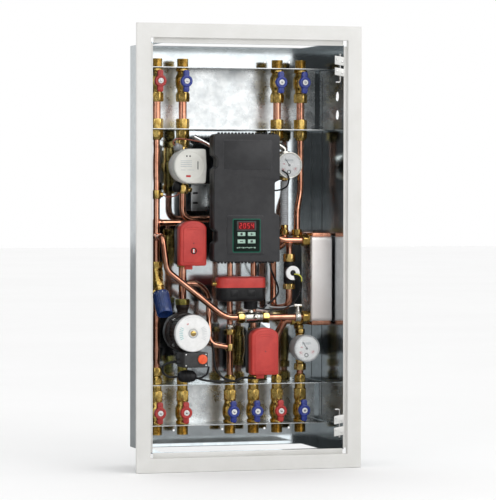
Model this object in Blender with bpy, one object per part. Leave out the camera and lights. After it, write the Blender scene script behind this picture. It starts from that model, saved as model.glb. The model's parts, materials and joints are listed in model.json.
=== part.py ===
"""Heating interface unit in a recessed wall cabinet, with pipes, valves, pump, meters, exchanger, controller.
Metres. X to the right, Y into the wall, Z up. Origin at the centre of the cabinet's outer back face."""
import math
import bpy
import bmesh
import numpy as np
from mathutils import Matrix, Vector

for old in list(bpy.data.objects):
    bpy.data.objects.remove(old, do_unlink=True)

# cabinet and trim
BOX_W = 0.540
BOX_H = 1.100
BOX_D = 0.235
WALL = 0.0015
FRAME_OVER_X = 0.045
FRAME_OVER_Z = 0.050
FRAME_W = BOX_W + 2 * FRAME_OVER_X
FRAME_H = BOX_H + 2 * FRAME_OVER_Z
FRAME_STAND = 0.015
FRAME_FRONT = -BOX_D - FRAME_STAND
FRAME_FACE = 0.037
HINGE_UP = 0.4925
HINGE_LOW = -0.485
PIN_R = 0.0021
LIP_X = 0.010
LIP_Z = 0.0155
GAP = 0.0003
# rails
RAIL_W = BOX_W - 0.018
RAIL_DEPTH = 0.115
RAIL_T = 0.002
UP_TOP = 0.489
UP_LOW = 0.3215
LO_TOP = -0.376
LO_LOW = -0.486
# valve row: the primary pair stands further apart than the rest
VALVE_Y = -0.075
FIRST_X = -0.215
FIRST_STEP = 0.0735
STEP = 0.0675
TOP_PLACES = (0, 1, 5, 6)
LOW_PLACES = (0, 1, 3, 4, 5, 6)
BALL_UP = 0.4515
BALL_LOW = -0.4515
BALL_R = 0.0138
CHAMBER_R = BALL_R + 0.0008
BODY_R = BALL_R + 0.0067
THREAD_R = 0.0158
NUT_R = 0.0190
HANDLE_FRONT = 0.048
HANDLE_REACH = 0.030
# pipes
PIPE_R = 0.0090
PIPE_T = 0.0010
THIN_R = 0.0075
FRONT_Y = -0.127
SIDES = 8
# exchanger
HX_L = 0.2045
HX_R = 0.2645
HX_FRONT = -0.152
HX_BACK = -0.062
HX_TOP = 0.030
HX_LOW = -0.206
# pump
PUMP_X = FIRST_X + FIRST_STEP
PUMP_Z = -0.232
# controller
CTRL_L = -0.0905
CTRL_R = 0.0955
CTRL_LOW = -0.039
CTRL_TOP = 0.307
CTRL_BACK = -0.160
CTRL_SPLIT = -0.196
CTRL_FRONT = -0.210


def place_x(i):
    return FIRST_X if i == 0 else FIRST_X + FIRST_STEP + STEP * (i - 1)


def surface(name, color, metal, rough):
    mat = bpy.data.materials.new(name)
    mat.use_nodes = True
    b = mat.node_tree.nodes["Principled BSDF"]
    b.inputs["Base Color"].default_value = (*color, 1.0)
    b.inputs["Metallic"].default_value = metal
    b.inputs["Roughness"].default_value = rough
    return mat


LOOKS = {
    "zinc": ((0.45, 0.50, 0.53), 1.0, 0.25),
    "white": ((0.80, 0.79, 0.76), 0.0, 0.45),
    "brass": ((0.72, 0.52, 0.20), 1.0, 0.30),
    "copper": ((0.80, 0.42, 0.28), 1.0, 0.28),
    "nickel": ((0.70, 0.68, 0.62), 1.0, 0.25),
    "red": ((0.62, 0.06, 0.04), 0.0, 0.40),
    "blue": ((0.03, 0.04, 0.30), 0.0, 0.40),
    "black": ((0.02, 0.02, 0.02), 0.0, 0.50),
    "grey": ((0.06, 0.06, 0.06), 0.0, 0.50),
    "pale": ((0.75, 0.75, 0.72), 0.0, 0.40),
    "rubber": ((0.03, 0.03, 0.03), 0.0, 0.70),
    "iron": ((0.05, 0.05, 0.05), 0.0, 0.60),
}


def raw(name, verts, faces):
    me = bpy.data.meshes.new(name)
    me.from_pydata([tuple(map(float, v)) for v in verts], [], [tuple(map(int, f)) for f in faces])
    me.update()
    ob = bpy.data.objects.new(name, me)
    bpy.context.scene.collection.objects.link(ob)
    bm = bmesh.new()
    bm.from_mesh(me)
    bmesh.ops.remove_doubles(bm, verts=bm.verts, dist=0.00001)
    bmesh.ops.recalc_face_normals(bm, faces=bm.faces)
    bm.to_mesh(me)
    bm.free()
    return ob


def box(lo, hi, name="box"):
    x0, y0, z0 = lo
    x1, y1, z1 = hi
    v = [(x0, y0, z0), (x1, y0, z0), (x1, y1, z0), (x0, y1, z0)]
    v += [(x0, y0, z1), (x1, y0, z1), (x1, y1, z1), (x0, y1, z1)]
    f = [(0, 3, 2, 1), (4, 5, 6, 7), (0, 1, 5, 4), (1, 2, 6, 5), (2, 3, 7, 6), (3, 0, 4, 7)]
    return raw(name, v, f)


def slab(outline, y0, y1, name="slab"):
    """A closed outline in X and Z, pushed from y0 to y1."""
    n = len(outline)
    v = [(x, y0, z) for x, z in outline] + [(x, y1, z) for x, z in outline]
    f = [tuple(range(n)), tuple(range(2 * n - 1, n - 1, -1))]
    f += [(i, (i + 1) % n, n + (i + 1) % n, n + i) for i in range(n)]
    return raw(name, v, f)


def turned(rings, at, axis=(0, 0, 1), sides=12, name="turned", closed=False):
    """Rings of (radius, height, hexagonal) round an axis. Closed joins the last ring to the first."""
    q = Vector((0, 0, 1)).rotation_difference(Vector(axis).normalized()).to_matrix()
    at = Vector(at)
    verts, rows = [], []
    for ring in rings:
        r, h = ring[0], ring[1]
        hexed = len(ring) > 2 and ring[2]
        if r < 1e-7:
            rows.append([len(verts)] * sides)
            verts.append(at + q @ Vector((0, 0, h)))
            continue
        row = []
        for k in range(sides):
            a = 2 * math.pi * k / sides
            rr = r * (math.cos(math.pi / 6) if hexed and k % 2 else 1.0)
            row.append(len(verts))
            verts.append(at + q @ Vector((rr * math.cos(a), rr * math.sin(a), h)))
        rows.append(row)
    faces = []
    pairs = list(zip(rows[:-1], rows[1:]))
    if closed:
        pairs.append((rows[-1], rows[0]))
    for a, b in pairs:
        for k in range(sides):
            m = (k + 1) % sides
            quad = [a[k], a[m], b[m], b[k]]
            keep = [v for i, v in enumerate(quad) if v not in quad[:i]]
            if len(keep) > 2:
                faces.append(keep)
    if not closed:
        for row in (rows[0], rows[-1]):
            if row[0] != row[1]:
                faces.append(row)
    return raw(name, verts, faces)


def rounded(points, bend, steps=2):
    """A path with its corners replaced by arcs of the given bend length."""
    p = [np.array(v, float) for v in points]
    out = [p[0]]
    last = len(p) - 3
    for i, (a, b, c) in enumerate(zip(p[:-2], p[1:-1], p[2:])):
        u, w = a - b, c - b
        lu, lw = np.linalg.norm(u), np.linalg.norm(w)
        d = min(bend, lu * 0.48, lw * (0.85 if i == last else 0.48))
        s, e = b + u / lu * d, b + w / lw * d
        for k in range(steps + 1):
            t = k / steps
            out.append((1 - t) ** 2 * s + 2 * t * (1 - t) * b + t * t * e)
    out.append(p[-1])
    return out


def sweep(points, radius, sides=SIDES, bore=0.0, name="sweep"):
    """A round section carried along a path without twist. A bore above zero leaves it hollow and open."""
    p = np.array(points)
    t = np.gradient(p, axis=0)
    t[0], t[-1] = p[1] - p[0], p[-1] - p[-2]
    t /= np.linalg.norm(t, axis=1)[:, None]
    ref = np.array((0.0, 1.0, 0.0)) if abs(t[0][1]) < 0.9 else np.array((1.0, 0.0, 0.0))
    n = np.cross(t[0], ref)
    n /= np.linalg.norm(n)
    verts = []
    for i in range(len(p)):
        n = n - t[i] * np.dot(n, t[i])
        n /= np.linalg.norm(n)
        b = np.cross(t[i], n)
        for r in ([radius, bore] if bore > 0 else [radius]):
            for k in range(sides):
                a = 2 * math.pi * (k + 0.5) / sides
                verts.append(p[i] + r * (math.cos(a) * n + math.sin(a) * b))
    per = sides * (2 if bore > 0 else 1)
    faces = []
    for i in range(len(p) - 1):
        for k in range(sides):
            m = (k + 1) % sides
            a, c = i * per, (i + 1) * per
            faces.append((a + k, a + m, c + m, c + k))
            if bore > 0:
                faces.append((a + sides + m, a + sides + k, c + sides + k, c + sides + m))
    for i in (0, len(p) - 1):
        a = i * per
        if bore > 0:
            for k in range(sides):
                m = (k + 1) % sides
                faces.append((a + k, a + m, a + sides + m, a + sides + k))
        else:
            faces.append(tuple(a + k for k in range(sides)))
    return raw(name, verts, faces)


def combine(body, other, how):
    """Boolean of two objects, baked into the first; the second is taken away."""
    other.hide_render = True
    other.display_type = "WIRE"
    m = body.modifiers.new(how.lower(), "BOOLEAN")
    m.operation = how
    m.solver = "EXACT"
    m.object = other
    bpy.context.view_layer.update()
    got = body.evaluated_get(bpy.context.evaluated_depsgraph_get())
    me = bpy.data.meshes.new_from_object(got)
    body.modifiers.clear()
    body.data = me
    bpy.data.objects.remove(other, do_unlink=True)
    return body


def add(body, *others):
    for o in others:
        body = combine(body, o, "UNION")
    return body


def cut(body, *others):
    for o in others:
        body = combine(body, o, "DIFFERENCE")
    return body


def node(name, ob, look, pivot=(0, 0, 0)):
    """Names the piece, gives it its own material and puts its origin on its pivot."""
    color, metal, rough = LOOKS[look]
    ob.name = name
    me = ob.data
    me.name = name
    bm = bmesh.new()
    bm.from_mesh(me)
    bmesh.ops.remove_doubles(bm, verts=bm.verts, dist=0.00001)
    bmesh.ops.dissolve_degenerate(bm, edges=bm.edges, dist=0.00001)
    bmesh.ops.recalc_face_normals(bm, faces=bm.faces)
    bm.to_mesh(me)
    bm.free()
    me.transform(Matrix.Translation(-Vector(pivot)))
    ob.location = pivot
    me.materials.clear()
    me.materials.append(surface(name + "_mat", color, metal, rough))
    return ob


def copy_of(mesh_ob, shift):
    ob = bpy.data.objects.new("copy", mesh_ob.data.copy())
    bpy.context.scene.collection.objects.link(ob)
    ob.data.transform(Matrix.Translation(Vector(shift)))
    return ob


def pipe(points, radius=PIPE_R, bend=0.03, wall=PIPE_T, sides=SIDES, steps=2):
    return sweep(rounded(points, bend, steps), radius, sides, radius - wall)


def past_ends(points, extra=0.003):
    """The same path, a little longer at both ends, so a bore never stops level with its tube's end."""
    p = [np.array(v, float) for v in points]
    p[0] = p[0] + (p[0] - p[1]) / np.linalg.norm(p[0] - p[1]) * extra
    p[-1] = p[-1] + (p[-1] - p[-2]) / np.linalg.norm(p[-1] - p[-2]) * extra
    return p


def branched(paths, radii, bend=0.03, wall=PIPE_T):
    """Several tubes joined into one hollow body."""
    body = None
    for pts, r in zip(paths, radii):
        o = sweep(rounded(pts, bend, 3), r)
        body = o if body is None else add(body, o)
    for pts, r in zip(paths, radii):
        body = cut(body, sweep(past_ends(rounded(pts, bend, 3)), r - wall))
    return body


# ---------------------------------------------------------------- cabinet
def cabinet():
    w, h = BOX_W / 2, BOX_H / 2
    b = box((-w, -BOX_D, -h), (w, 0, h))
    b = cut(b, box((-w + WALL, -BOX_D - 0.01, -h + WALL), (w - WALL, -WALL, h - WALL)))
    for s in (1, -1):
        z0, z1 = sorted((s * (h - 0.02), s * (h + 0.02)))
        b = cut(b, box((-w + 0.035, -BOX_D + 0.028, z0), (w - 0.060, -0.045, z1)))
    for x in (-0.146, -0.006, 0.116, 0.187):
        for z in (0.512, -0.508):
            b = cut(b, turned([(0.0035, -0.01), (0.0035, 0.01)], (x, 0, z), (0, 1, 0), 6))
    for s in (1, -1):
        for z in (0.412, 0.3615):
            b = cut(b, turned([(0.0135, -0.01), (0.0135, 0.01)], (s * w, -0.180, z), (1, 0, 0), 10))
    return b


node("cabinet_box", cabinet(), "zinc")


def ring(profile, half_w, half_h):
    """A rectangular ring: profile points are (distance outside the opening, y)."""
    verts, n = [], len(profile)
    for sx, sz in ((1, 1), (-1, 1), (-1, -1), (1, -1)):
        for out, y in profile:
            on_lip = out < -0.005
            x = half_w + (-LIP_X if on_lip else out)
            z = half_h + (-LIP_Z if on_lip else out)
            verts.append((sx * x, y, sz * z))
    faces = []
    for c in range(4):
        for k in range(n):
            m, d = (k + 1) % n, (c + 1) % 4
            faces.append((c * n + k, c * n + m, d * n + m, d * n + k))
    return raw("ring", verts, faces)


def trim():
    a, b = FRAME_W / 2 - FRAME_FACE, FRAME_H / 2 - FRAME_FACE
    f, t, w = FRAME_FRONT, 0.0015, FRAME_FACE
    y2 = -BOX_D - GAP
    r = ring([(-LIP_X, y2), (-LIP_X, y2 - t), (-t, y2 - t), (-t, f), (w, f), (w, f + 0.012),
              (w - t, f + 0.012),
              (w - t, f + t), (0, f + t), (0, y2)], a, b)
    inner = a - LIP_X
    for s in (1, -1):
        plates = [(0.521, 0.493), (0.489, 0.464)] if s > 0 else [(-0.455, -0.482), (-0.487, -0.515)]
        for z1, z0 in plates:
            r = add(r, box((inner - 0.026, y2 - t, z0), (inner + 0.002, y2, z1)))
        middle = HINGE_UP if s > 0 else HINGE_LOW
        r = add(r, box((inner - 0.012, y2 - 0.0002 - t, middle - 0.024),
                       (inner - 0.006, y2 + 0.006, middle + 0.024)))
        pin_hole = turned([(PIN_R + 0.0005, -0.05), (PIN_R + 0.0005, 0.05)],
                          (inner - 0.009, y2 + 0.0025, middle), sides=8)
        r = cut(r, pin_hole)
    return r


node("trim_frame", trim(), "white")
INNER_X = FRAME_W / 2 - FRAME_FACE - LIP_X
PIN_X, PIN_Y = INNER_X - 0.009, -BOX_D - GAP + 0.0025
for label, zc, s in (("upper", HINGE_UP, -1), ("lower", HINGE_LOW, 1)):
    path = [(PIN_X, PIN_Y, zc - s * 0.030), (PIN_X, PIN_Y, zc + s * 0.044),
            (PIN_X - 0.013, PIN_Y, zc + s * 0.044)]
    pin = sweep(rounded(path, 0.004, 2), PIN_R, 6)
    node("hinge_pin_" + label, pin, "nickel", (PIN_X, PIN_Y, zc))


def rail(z_top, z_low, holes_top, holes_low):
    w = RAIL_W / 2
    b = box((-w, -RAIL_DEPTH, z_low - RAIL_T / 2), (w, -WALL - GAP, z_top + RAIL_T / 2))
    b = cut(b, box((-w - 0.01, -RAIL_DEPTH - 0.01, z_low + RAIL_T / 2),
                   (w + 0.01, -WALL - GAP - RAIL_T, z_top - RAIL_T / 2)))
    for z, holes in ((z_top, holes_top), (z_low, holes_low)):
        for x, r in holes:
            b = cut(b, turned([(r, -0.01), (r, 0.01)], (x, VALVE_Y, z), (0, 0, 1), 12))
    return b


OUT_R = THREAD_R + 0.0007
IN_R = 0.0145 + 0.0007


def holes(places, radius):
    return [(place_x(i), radius) for i in places]


node("upper_rail", rail(UP_TOP, UP_LOW, holes(TOP_PLACES, OUT_R), holes(TOP_PLACES, IN_R)), "zinc")
node("lower_rail", rail(LO_TOP, LO_LOW, holes(LOW_PLACES, IN_R), holes(LOW_PLACES, OUT_R)), "zinc")


# ---------------------------------------------------------------- valves
def valve(outer, ball_z, rest, way):
    """Threaded end, ball chamber and tail round a vertical bore; way is +1 when the thread points up."""
    z = ball_z
    g = RAIL_T / 2 + GAP
    end = z + way * 0.062
    outline = [(THREAD_R, end), (THREAD_R, outer - way * g), (NUT_R, outer - way * g, True),
               (NUT_R, outer - way * 0.011, True), (BODY_R, z + way * 0.012), (BODY_R, z - way * 0.012),
               (0.0150, z - way * 0.021)]
    outline += rest
    inner = [(0.0095, rest[-1][1]), (0.0095, end)]
    b = turned(outline + inner, (0, VALVE_Y, 0), closed=True)
    b = add(b, turned([(0.0085, 0.012), (0.0085, 0.029)], (0, VALVE_Y, z), (0, -1, 0), 8))
    b = cut(b, turned([(0.0048, 0.006), (0.0048, 0.040)], (0, VALVE_Y, z), (0, -1, 0), 6))
    b = cut(b, turned([(CHAMBER_R, -CHAMBER_R), (CHAMBER_R, CHAMBER_R)], (0, VALVE_Y, z), (0, 0, 1), 12))
    return b


g = RAIL_T / 2 + GAP
top_rest = [(0.0150, BALL_UP - 0.0290), (NUT_R, BALL_UP - 0.0290, True), (NUT_R, 0.3960, True),
            (0.0110, 0.3960),
            (0.0110, 0.3500), (NUT_R, 0.3500, True), (NUT_R, UP_LOW + g, True), (0.0145, UP_LOW + g),
            (0.0145, UP_LOW - g), (NUT_R, UP_LOW - g, True), (NUT_R, 0.2920, True)]
low_rest = [(0.0150, BALL_LOW + 0.0290), (NUT_R, BALL_LOW + 0.0290, True), (NUT_R, -0.3925, True),
            (0.0145, -0.3925),
            (0.0145, LO_TOP + g), (0.0175, LO_TOP + g, True), (0.0175, -0.3515, True)]
top_valve = valve(UP_TOP, BALL_UP, top_rest, 1)
low_valve = valve(LO_LOW, BALL_LOW, low_rest, -1)


def handle():
    """Ball, stem and butterfly grip on one axis; at the origin, pointing along -Y."""
    prof = [(0.0, -BALL_R)]
    for k in range(1, 5):
        a = math.pi * (-0.5 + k / 5.0)
        prof.append((BALL_R * math.cos(a), BALL_R * math.sin(a)))
    prof += [(0.0038, 0.0128), (0.0038, 0.0315), (0.0165, 0.0320), (0.0165, 0.0430), (0.0120, HANDLE_FRONT),
             (0.0, HANDLE_FRONT)]
    b = turned(prof, (0, 0, 0), (0, -1, 0), 12)
    r = HANDLE_REACH
    half = [(0.0115, 0.006), (0.0068, 0.016), (0.0085, r - 0.008), (0.0055, r)]
    outline = half + [(-x, z) for x, z in half[::-1]]
    outline += [(-x, -z) for x, z in half] + [(x, -z) for x, z in half[::-1]]
    b = add(b, slab(outline, -0.0425, -0.0345))
    return cut(b, turned([(0.0090, -0.03), (0.0090, 0.03)], (0, 0, 0), (0, 0, 1), 8))


grip = handle()
TOP_LOOK = {0: "red", 1: "blue", 5: "blue", 6: "blue"}
LOW_LOOK = {0: "red", 1: "red", 3: "blue", 4: "blue", 5: "red", 6: "blue"}
for i in TOP_PLACES:
    node("valve_top_%d" % i, copy_of(top_valve, (place_x(i), 0, 0)), "brass")
    c = (place_x(i), VALVE_Y, BALL_UP)
    node("handle_top_%d" % i, copy_of(grip, c), TOP_LOOK[i], c)
for i in LOW_PLACES:
    node("valve_low_%d" % i, copy_of(low_valve, (place_x(i), 0, 0)), "brass")
    c = (place_x(i), VALVE_Y, BALL_LOW)
    node("handle_low_%d" % i, copy_of(grip, c), LOW_LOOK[i], c)
for o in (top_valve, low_valve, grip):
    bpy.data.objects.remove(o, do_unlink=True)

TOP_END = 0.2920 - GAP
LOW_END = -0.3515 + GAP
X0, X1, X3, X4, X5, X6 = (place_x(i) for i in (0, 1, 3, 4, 5, 6))

# ---------------------------------------------------------------- left side
ZL_TOP = 0.047
MID_Z = -0.1975
MID_L = 0.0
REG_TOP = -0.040
supply = branched(
    [[(X0, VALVE_Y, TOP_END), (X0, VALVE_Y, REG_TOP + GAP)],
     [(X0, VALVE_Y, 0.066), (X1, VALVE_Y, 0.066), (X1, VALVE_Y, ZL_TOP + GAP)],
     [(X0, VALVE_Y, 0.0275), (X0 + 0.003, FRONT_Y, 0.030), (-0.199, FRONT_Y, -0.063),
      (-0.178, FRONT_Y, -0.080), (-0.045, FRONT_Y, -0.1696 - 1.6 * PIPE_R),
      (-0.024, FRONT_Y, MID_Z), (MID_L - GAP, FRONT_Y, MID_Z)]],
    [PIPE_R, PIPE_R - 0.0010, PIPE_R - 0.0006], 0.022)
node("supply_pipe", supply, "copper")

REG_A = Vector((X0 - 0.003, -0.078, -0.066))
REG_D = Vector((0.06, -0.51, -0.86)).normalized()
reg = turned([(0.0175, REG_TOP, True), (0.0175, REG_TOP - 0.018, True), (0.0140, REG_TOP - 0.020),
              (0.0140, -0.115), (0.0165, -0.117, True), (0.0165, -0.135, True), (PIPE_R, -0.136),
              (PIPE_R, -0.328),
              (0.0175, -0.329, True), (0.0175, LOW_END, True)], (X0, VALVE_Y, 0))
reg = add(reg, turned([(0.0125, 0.004), (0.0125, 0.110), (0.0, 0.110)], REG_A, REG_D, 10))
reg = cut(reg, turned([(0.0078, REG_TOP - 0.5), (0.0078, REG_TOP + 0.05)], (X0, VALVE_Y, 0), (0, 0, 1), 8))
node("regulator_body", reg, "brass")
cap = turned([(0.0212, 0.068), (0.0232, 0.075), (0.0226, 0.128), (0.0205, 0.134), (0.0170, 0.134),
              (0.0170, 0.114), (0.0135, 0.114), (0.0135, 0.068)], REG_A, REG_D, 12, closed=True)
CAP_AT = REG_A + REG_D * 0.1
node("regulator_cap", cap, "blue", CAP_AT)

HM_LOW = 0.145
meter = turned([(NUT_R, TOP_END, True), (NUT_R, 0.2735, True), (0.0145, 0.272), (0.0145, 0.240),
                (0.0160, 0.235),
                (0.0160, 0.205), (0.0145, 0.200), (0.0145, 0.171), (0.0175, 0.1695, True),
                (0.0175, HM_LOW, True),
                (0.0085, HM_LOW), (0.0085, TOP_END)], (X1, VALVE_Y, 0), closed=True)
meter = add(meter, box((X1 + 0.0155, -0.081, 0.150), (X1 + 0.026, -0.069, 0.162)))
hz, hr = 0.220, 0.0475
HEAD_BACK = -0.0935
seat = turned([(0.0190, 0.0105), (0.0190, VALVE_Y - HEAD_BACK - GAP)], (X1, VALVE_Y, hz), (0, -1, 0), 12)
meter = add(meter, seat)
node("heat_meter_body", meter, "brass")
face = [(X1 + 0.002 - hr * math.sin(math.pi * k / 10), hz + hr * math.cos(math.pi * k / 10))
        for k in range(11)]
face += [(X1 + 0.043, hz - hr), (X1 + 0.048, hz - hr + 0.005), (X1 + 0.050, hz)]
face += [(X1 + 0.048, hz + hr - 0.005), (X1 + 0.043, hz + hr)]
disp = slab(face, -0.150, HEAD_BACK)
disp = cut(disp, box((X1 - 0.034, -0.151, 0.226), (X1 + 0.034, -0.149, 0.252)))
node("heat_meter_display", disp, "pale")

# left zone valve with the pump's suction pipe, in one line
P_TOP = PUMP_Z + 0.090
zone = turned([(0.0165, ZL_TOP, True), (0.0165, 0.030, True), (0.0140, 0.028), (0.0175, 0.012),
               (0.0175, -0.024),
               (0.0140, -0.038), (0.0165, -0.040, True), (0.0165, -0.055, True), (0.0110, -0.056),
               (0.0110, P_TOP + GAP),
               (0.0085, P_TOP + GAP), (0.0085, ZL_TOP)], (X1, VALVE_Y, 0), closed=True)
zone = add(zone, turned([(0.0110, 0.013), (0.0110, 0.0390)], (X1, VALVE_Y, -0.006), (0, -1, 0), 10))
node("zone_valve_left", zone, "brass")


TAB = 0.010


def actuator(xc, zc, y_back, w=0.075, h=0.122, deep=0.070):
    """Arched case on its valve: black base behind, coloured cover in front, small latch tab under it."""
    r = w / 2
    rise = r * 0.62
    z_top, z_low = zc + h / 2, zc - h / 2
    turns = [math.pi * k / 8 for k in range(9)]
    outline = [(xc + r * math.cos(a), z_top - rise + rise * math.sin(a)) for a in turns]
    outline += [(xc - r, z_low + 0.005), (xc - r + 0.004, z_low), (xc + r - 0.004, z_low),
                (xc + r, z_low + 0.005)]
    inset = [(xc + (x - xc) * 0.955, zc + (z - zc) * 0.97) for x, z in outline]
    b = slab(inset, y_back - 0.040, y_back)
    b = add(b, slab(outline, y_back - deep, y_back - 0.038))
    tab_front = y_back - deep + 0.018
    return add(b, box((xc - 0.020, tab_front, z_low - TAB), (xc + 0.002, y_back - 0.045, z_low + 0.003)))


ACT_Y = VALVE_Y - 0.0390 - GAP
left = actuator(X1 + 0.0015, 0.0115, ACT_Y)
node("actuator_left", left, "red")

# ---------------------------------------------------------------- pump
PUMP_AT = (PUMP_X, VALVE_Y, PUMP_Z)
vol = turned([(0.0, 0.032), (0.040, 0.030), (0.052, 0.018), (0.054, -0.022), (0.042, -0.026)], PUMP_AT,
             (0, 1, 0), 16)
for s in (1, -1):
    far = 0.090 if s > 0 else abs(LOW_END - PUMP_Z)
    port = [(0.0150, s * 0.030), (0.0150, s * 0.073), (0.0200, s * 0.073, True), (0.0200, s * 0.0895, True)]
    port += [(0.0140, s * 0.090), (0.0140, s * far)]
    vol = add(vol, turned(port, PUMP_AT))
vol = cut(vol, turned([(0.0085, -0.14), (0.0085, 0.12)], PUMP_AT, sides=8))
vol = cut(vol, turned([(0.0360, -0.030), (0.0360, 0.016)], PUMP_AT, (0, 1, 0), 16))
node("pump_volute", vol, "iron")
FLANGE_Y = VALVE_Y - 0.026 - GAP
FLANGE_AT = (PUMP_X, FLANGE_Y, PUMP_Z)
can = [(0.0500, 0.0), (0.0500, 0.008), (0.0450, 0.010), (0.0455, 0.068), (0.0510, 0.070), (0.0510, 0.080)]
can += [(0.0495, 0.084), (0.0080, 0.084), (0.0080, 0.079), (0.0, 0.079)]
mot = turned(can, FLANGE_AT, (0, -1, 0), 16)
FACE_Y = FLANGE_Y - 0.084
mot = cut(mot, turned([(0.0245, -0.01), (0.0245, 0.055)], FLANGE_AT, (0, -1, 0), 12))
notch_low = (PUMP_X - 0.036, FLANGE_Y - 0.0705, PUMP_Z - 0.070)
mot = cut(mot, box(notch_low, (PUMP_X + 0.037, FLANGE_Y - 0.030, PUMP_Z - 0.043)))
node("pump_motor", mot, "iron")
rot = turned([(0.0, 0.013), (0.0330, 0.013), (0.0330, 0.002), (0.0120, -0.006), (0.0120, -0.024),
              (0.0225, -0.030),
              (0.0225, -0.074), (0.0, -0.074)], PUMP_AT, (0, 1, 0), 12)
node("pump_rotor", rot, "nickel", PUMP_AT)
plug = turned([(0.0, 0.0), (0.0070, 0.0), (0.0074, 0.0080), (0.0062, 0.0095), (0.0, 0.0095)],
              (PUMP_X, FACE_Y + 0.0045, PUMP_Z), (0, -1, 0), 12)
slot_low = (PUMP_X - 0.008, FACE_Y - 0.006, PUMP_Z - 0.0007)
plug = cut(plug, box(slot_low, (PUMP_X + 0.008, FACE_Y - 0.0035, PUMP_Z + 0.0007)))
node("pump_vent_plug", plug, "brass", (PUMP_X, FACE_Y, PUMP_Z))
TB = (PUMP_X - 0.0255, PUMP_X + 0.042, PUMP_Z - 0.093, PUMP_Z - 0.0515)
tb = box((TB[0], FACE_Y + 0.001, TB[2]), (TB[1], FLANGE_Y - 0.012, TB[3]))
KNOB = (PUMP_X + 0.026, FACE_Y + 0.001, PUMP_Z - 0.070)
tb = cut(tb, turned([(0.0068, -0.006), (0.0068, 0.01)], KNOB, (0, -1, 0), 10))
node("pump_terminal_box", tb, "grey")
kn = turned([(0.0, -0.0055), (0.0062, -0.0055), (0.0062, 0.0005), (0.0135, 0.0005), (0.0128, 0.0065),
             (0.0, 0.0070)],
            KNOB, (0, -1, 0), 14)
node("pump_speed_knob", kn, "red", KNOB)

# ---------------------------------------------------------------- middle ball valve and its motor
MX = 0.0375
MID_AT = (MX, FRONT_Y, MID_Z)
MOTOR_UP = 0.0494
PORT_NUT = 0.0205
MID_END = HX_L - PORT_NUT - GAP
mv = turned([(0.0165, MID_L, True), (0.0165, 0.0165, True), (0.0130, 0.018), (0.0150, 0.024),
             (0.0150, 0.054),
             (0.0130, 0.060), (0.0165, 0.0705, True), (0.0165, 0.088, True), (PIPE_R, 0.089),
             (PIPE_R, MID_END),
             (PIPE_R - PIPE_T, MID_END), (PIPE_R - PIPE_T, MID_L)], (0, FRONT_Y, MID_Z), (1, 0, 0),
             closed=True)
mv = cut(mv, turned([(0.0, -0.0128), (0.009, -0.0108), (0.0128, -0.005), (0.0128, 0.005), (0.009, 0.0108),
                     (0.0, 0.0128)], MID_AT))
mv = add(mv, turned([(0.0080, 0.0115), (0.0080, 0.0215)], MID_AT, sides=10))
mv = cut(mv, turned([(0.0042, 0.004), (0.0042, 0.03)], MID_AT, sides=8))
node("middle_valve", mv, "nickel")
cp = turned([(0.0, -0.0120), (0.0085, -0.0100), (0.0120, -0.0045), (0.0120, 0.0045), (0.0085, 0.0100),
             (0.0037, 0.0115), (0.0037, 0.0222), (0.0170, 0.0222), (0.0200, MOTOR_UP), (0.0, MOTOR_UP)], MID_AT)
cp = cut(cp, turned([(0.0078, -0.03), (0.0078, 0.03)], MID_AT, (1, 0, 0), 8))
node("middle_coupling", cp, "black", MID_AT)
AMX, AMY, AMZ = 0.0045, -0.138, MID_Z + MOTOR_UP + GAP
hw, hd = 0.0680, 0.032
oval = [(hw, -hd * 0.40), (hw, hd * 0.40), (hw * 0.76, hd), (-hw * 0.76, hd)]
oval += [(-x, -y) for x, y in oval]


def flat(outline, z0, z1, cx, cy, k=1.0):
    o = slab([(x * k, y * k) for x, y in outline], -z1, -z0)
    o.data.transform(Matrix.Rotation(math.radians(-90), 4, "X"))
    bm = bmesh.new()
    bm.from_mesh(o.data)
    zs = [v.co.z for v in bm.verts]
    bm.free()
    o.data.transform(Matrix.Translation(Vector((cx, cy, (z0 + z1) / 2 - (min(zs) + max(zs)) / 2))))
    return o


am = flat(oval, AMZ, AMZ + 0.039, AMX, AMY, 0.96)
am = add(am, flat(oval, AMZ + 0.037, AMZ + 0.068, AMX, AMY))
tip_at = (AMX - hw * 0.95, AMY, AMZ + 0.048)
am = add(am, turned([(0.0055, 0.0), (0.0055, 0.012), (0.0, 0.012)], tip_at, (-1, 0, 0), 8))
node("actuator_middle", am, "red")

# ---------------------------------------------------------------- exchanger and right side
PORT_F, PORT_B = FRONT_Y, -0.087
PORT_T, PORT_L = 0.0177, -0.2035
hx = box((HX_L, HX_FRONT, HX_LOW), (HX_R, HX_BACK, HX_TOP))
hx = add(hx, box((HX_L + 0.003, HX_FRONT + 0.004, HX_LOW - 0.010),
                 (HX_R - 0.003, HX_BACK - 0.004, HX_TOP + 0.010)))
for y, z in ((PORT_F, PORT_T), (PORT_F, MID_Z)):
    stub = [(0.0175, -PORT_NUT, True), (0.0175, -0.004, True), (0.0120, -0.003), (0.0120, 0.004)]
    hx = add(hx, turned(stub, (HX_L, y, z), (1, 0, 0)))
P6X = HX_L - 0.022
hx = add(hx, turned([(0.0120, -0.022), (0.0120, 0.004)], (HX_L, PORT_B, PORT_T), (1, 0, 0)))
hx = add(hx, turned([(0.0, -0.013), (0.0125, -0.010), (0.0125, 0.012), (0.0150, 0.013, True),
                     (0.0150, 0.030, True)],
                    (P6X, PORT_B, PORT_T)))
hx = add(hx, turned([(0.0120, -0.040), (0.0120, 0.004)], (HX_L, PORT_B, PORT_L), (1, 0, 0)))
hx = add(hx, turned([(0.0, 0.013), (0.0125, 0.010), (0.0125, -0.012), (0.0150, -0.013, True),
                     (0.0150, -0.024, True)],
                    (HX_L - 0.016, PORT_B, PORT_L)))
for y, z in ((PORT_F, PORT_T), (PORT_F, MID_Z)):
    hx = cut(hx, turned([(0.0080, -0.05), (0.0080, 0.030)], (HX_L, y, z), (1, 0, 0), 8))
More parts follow.
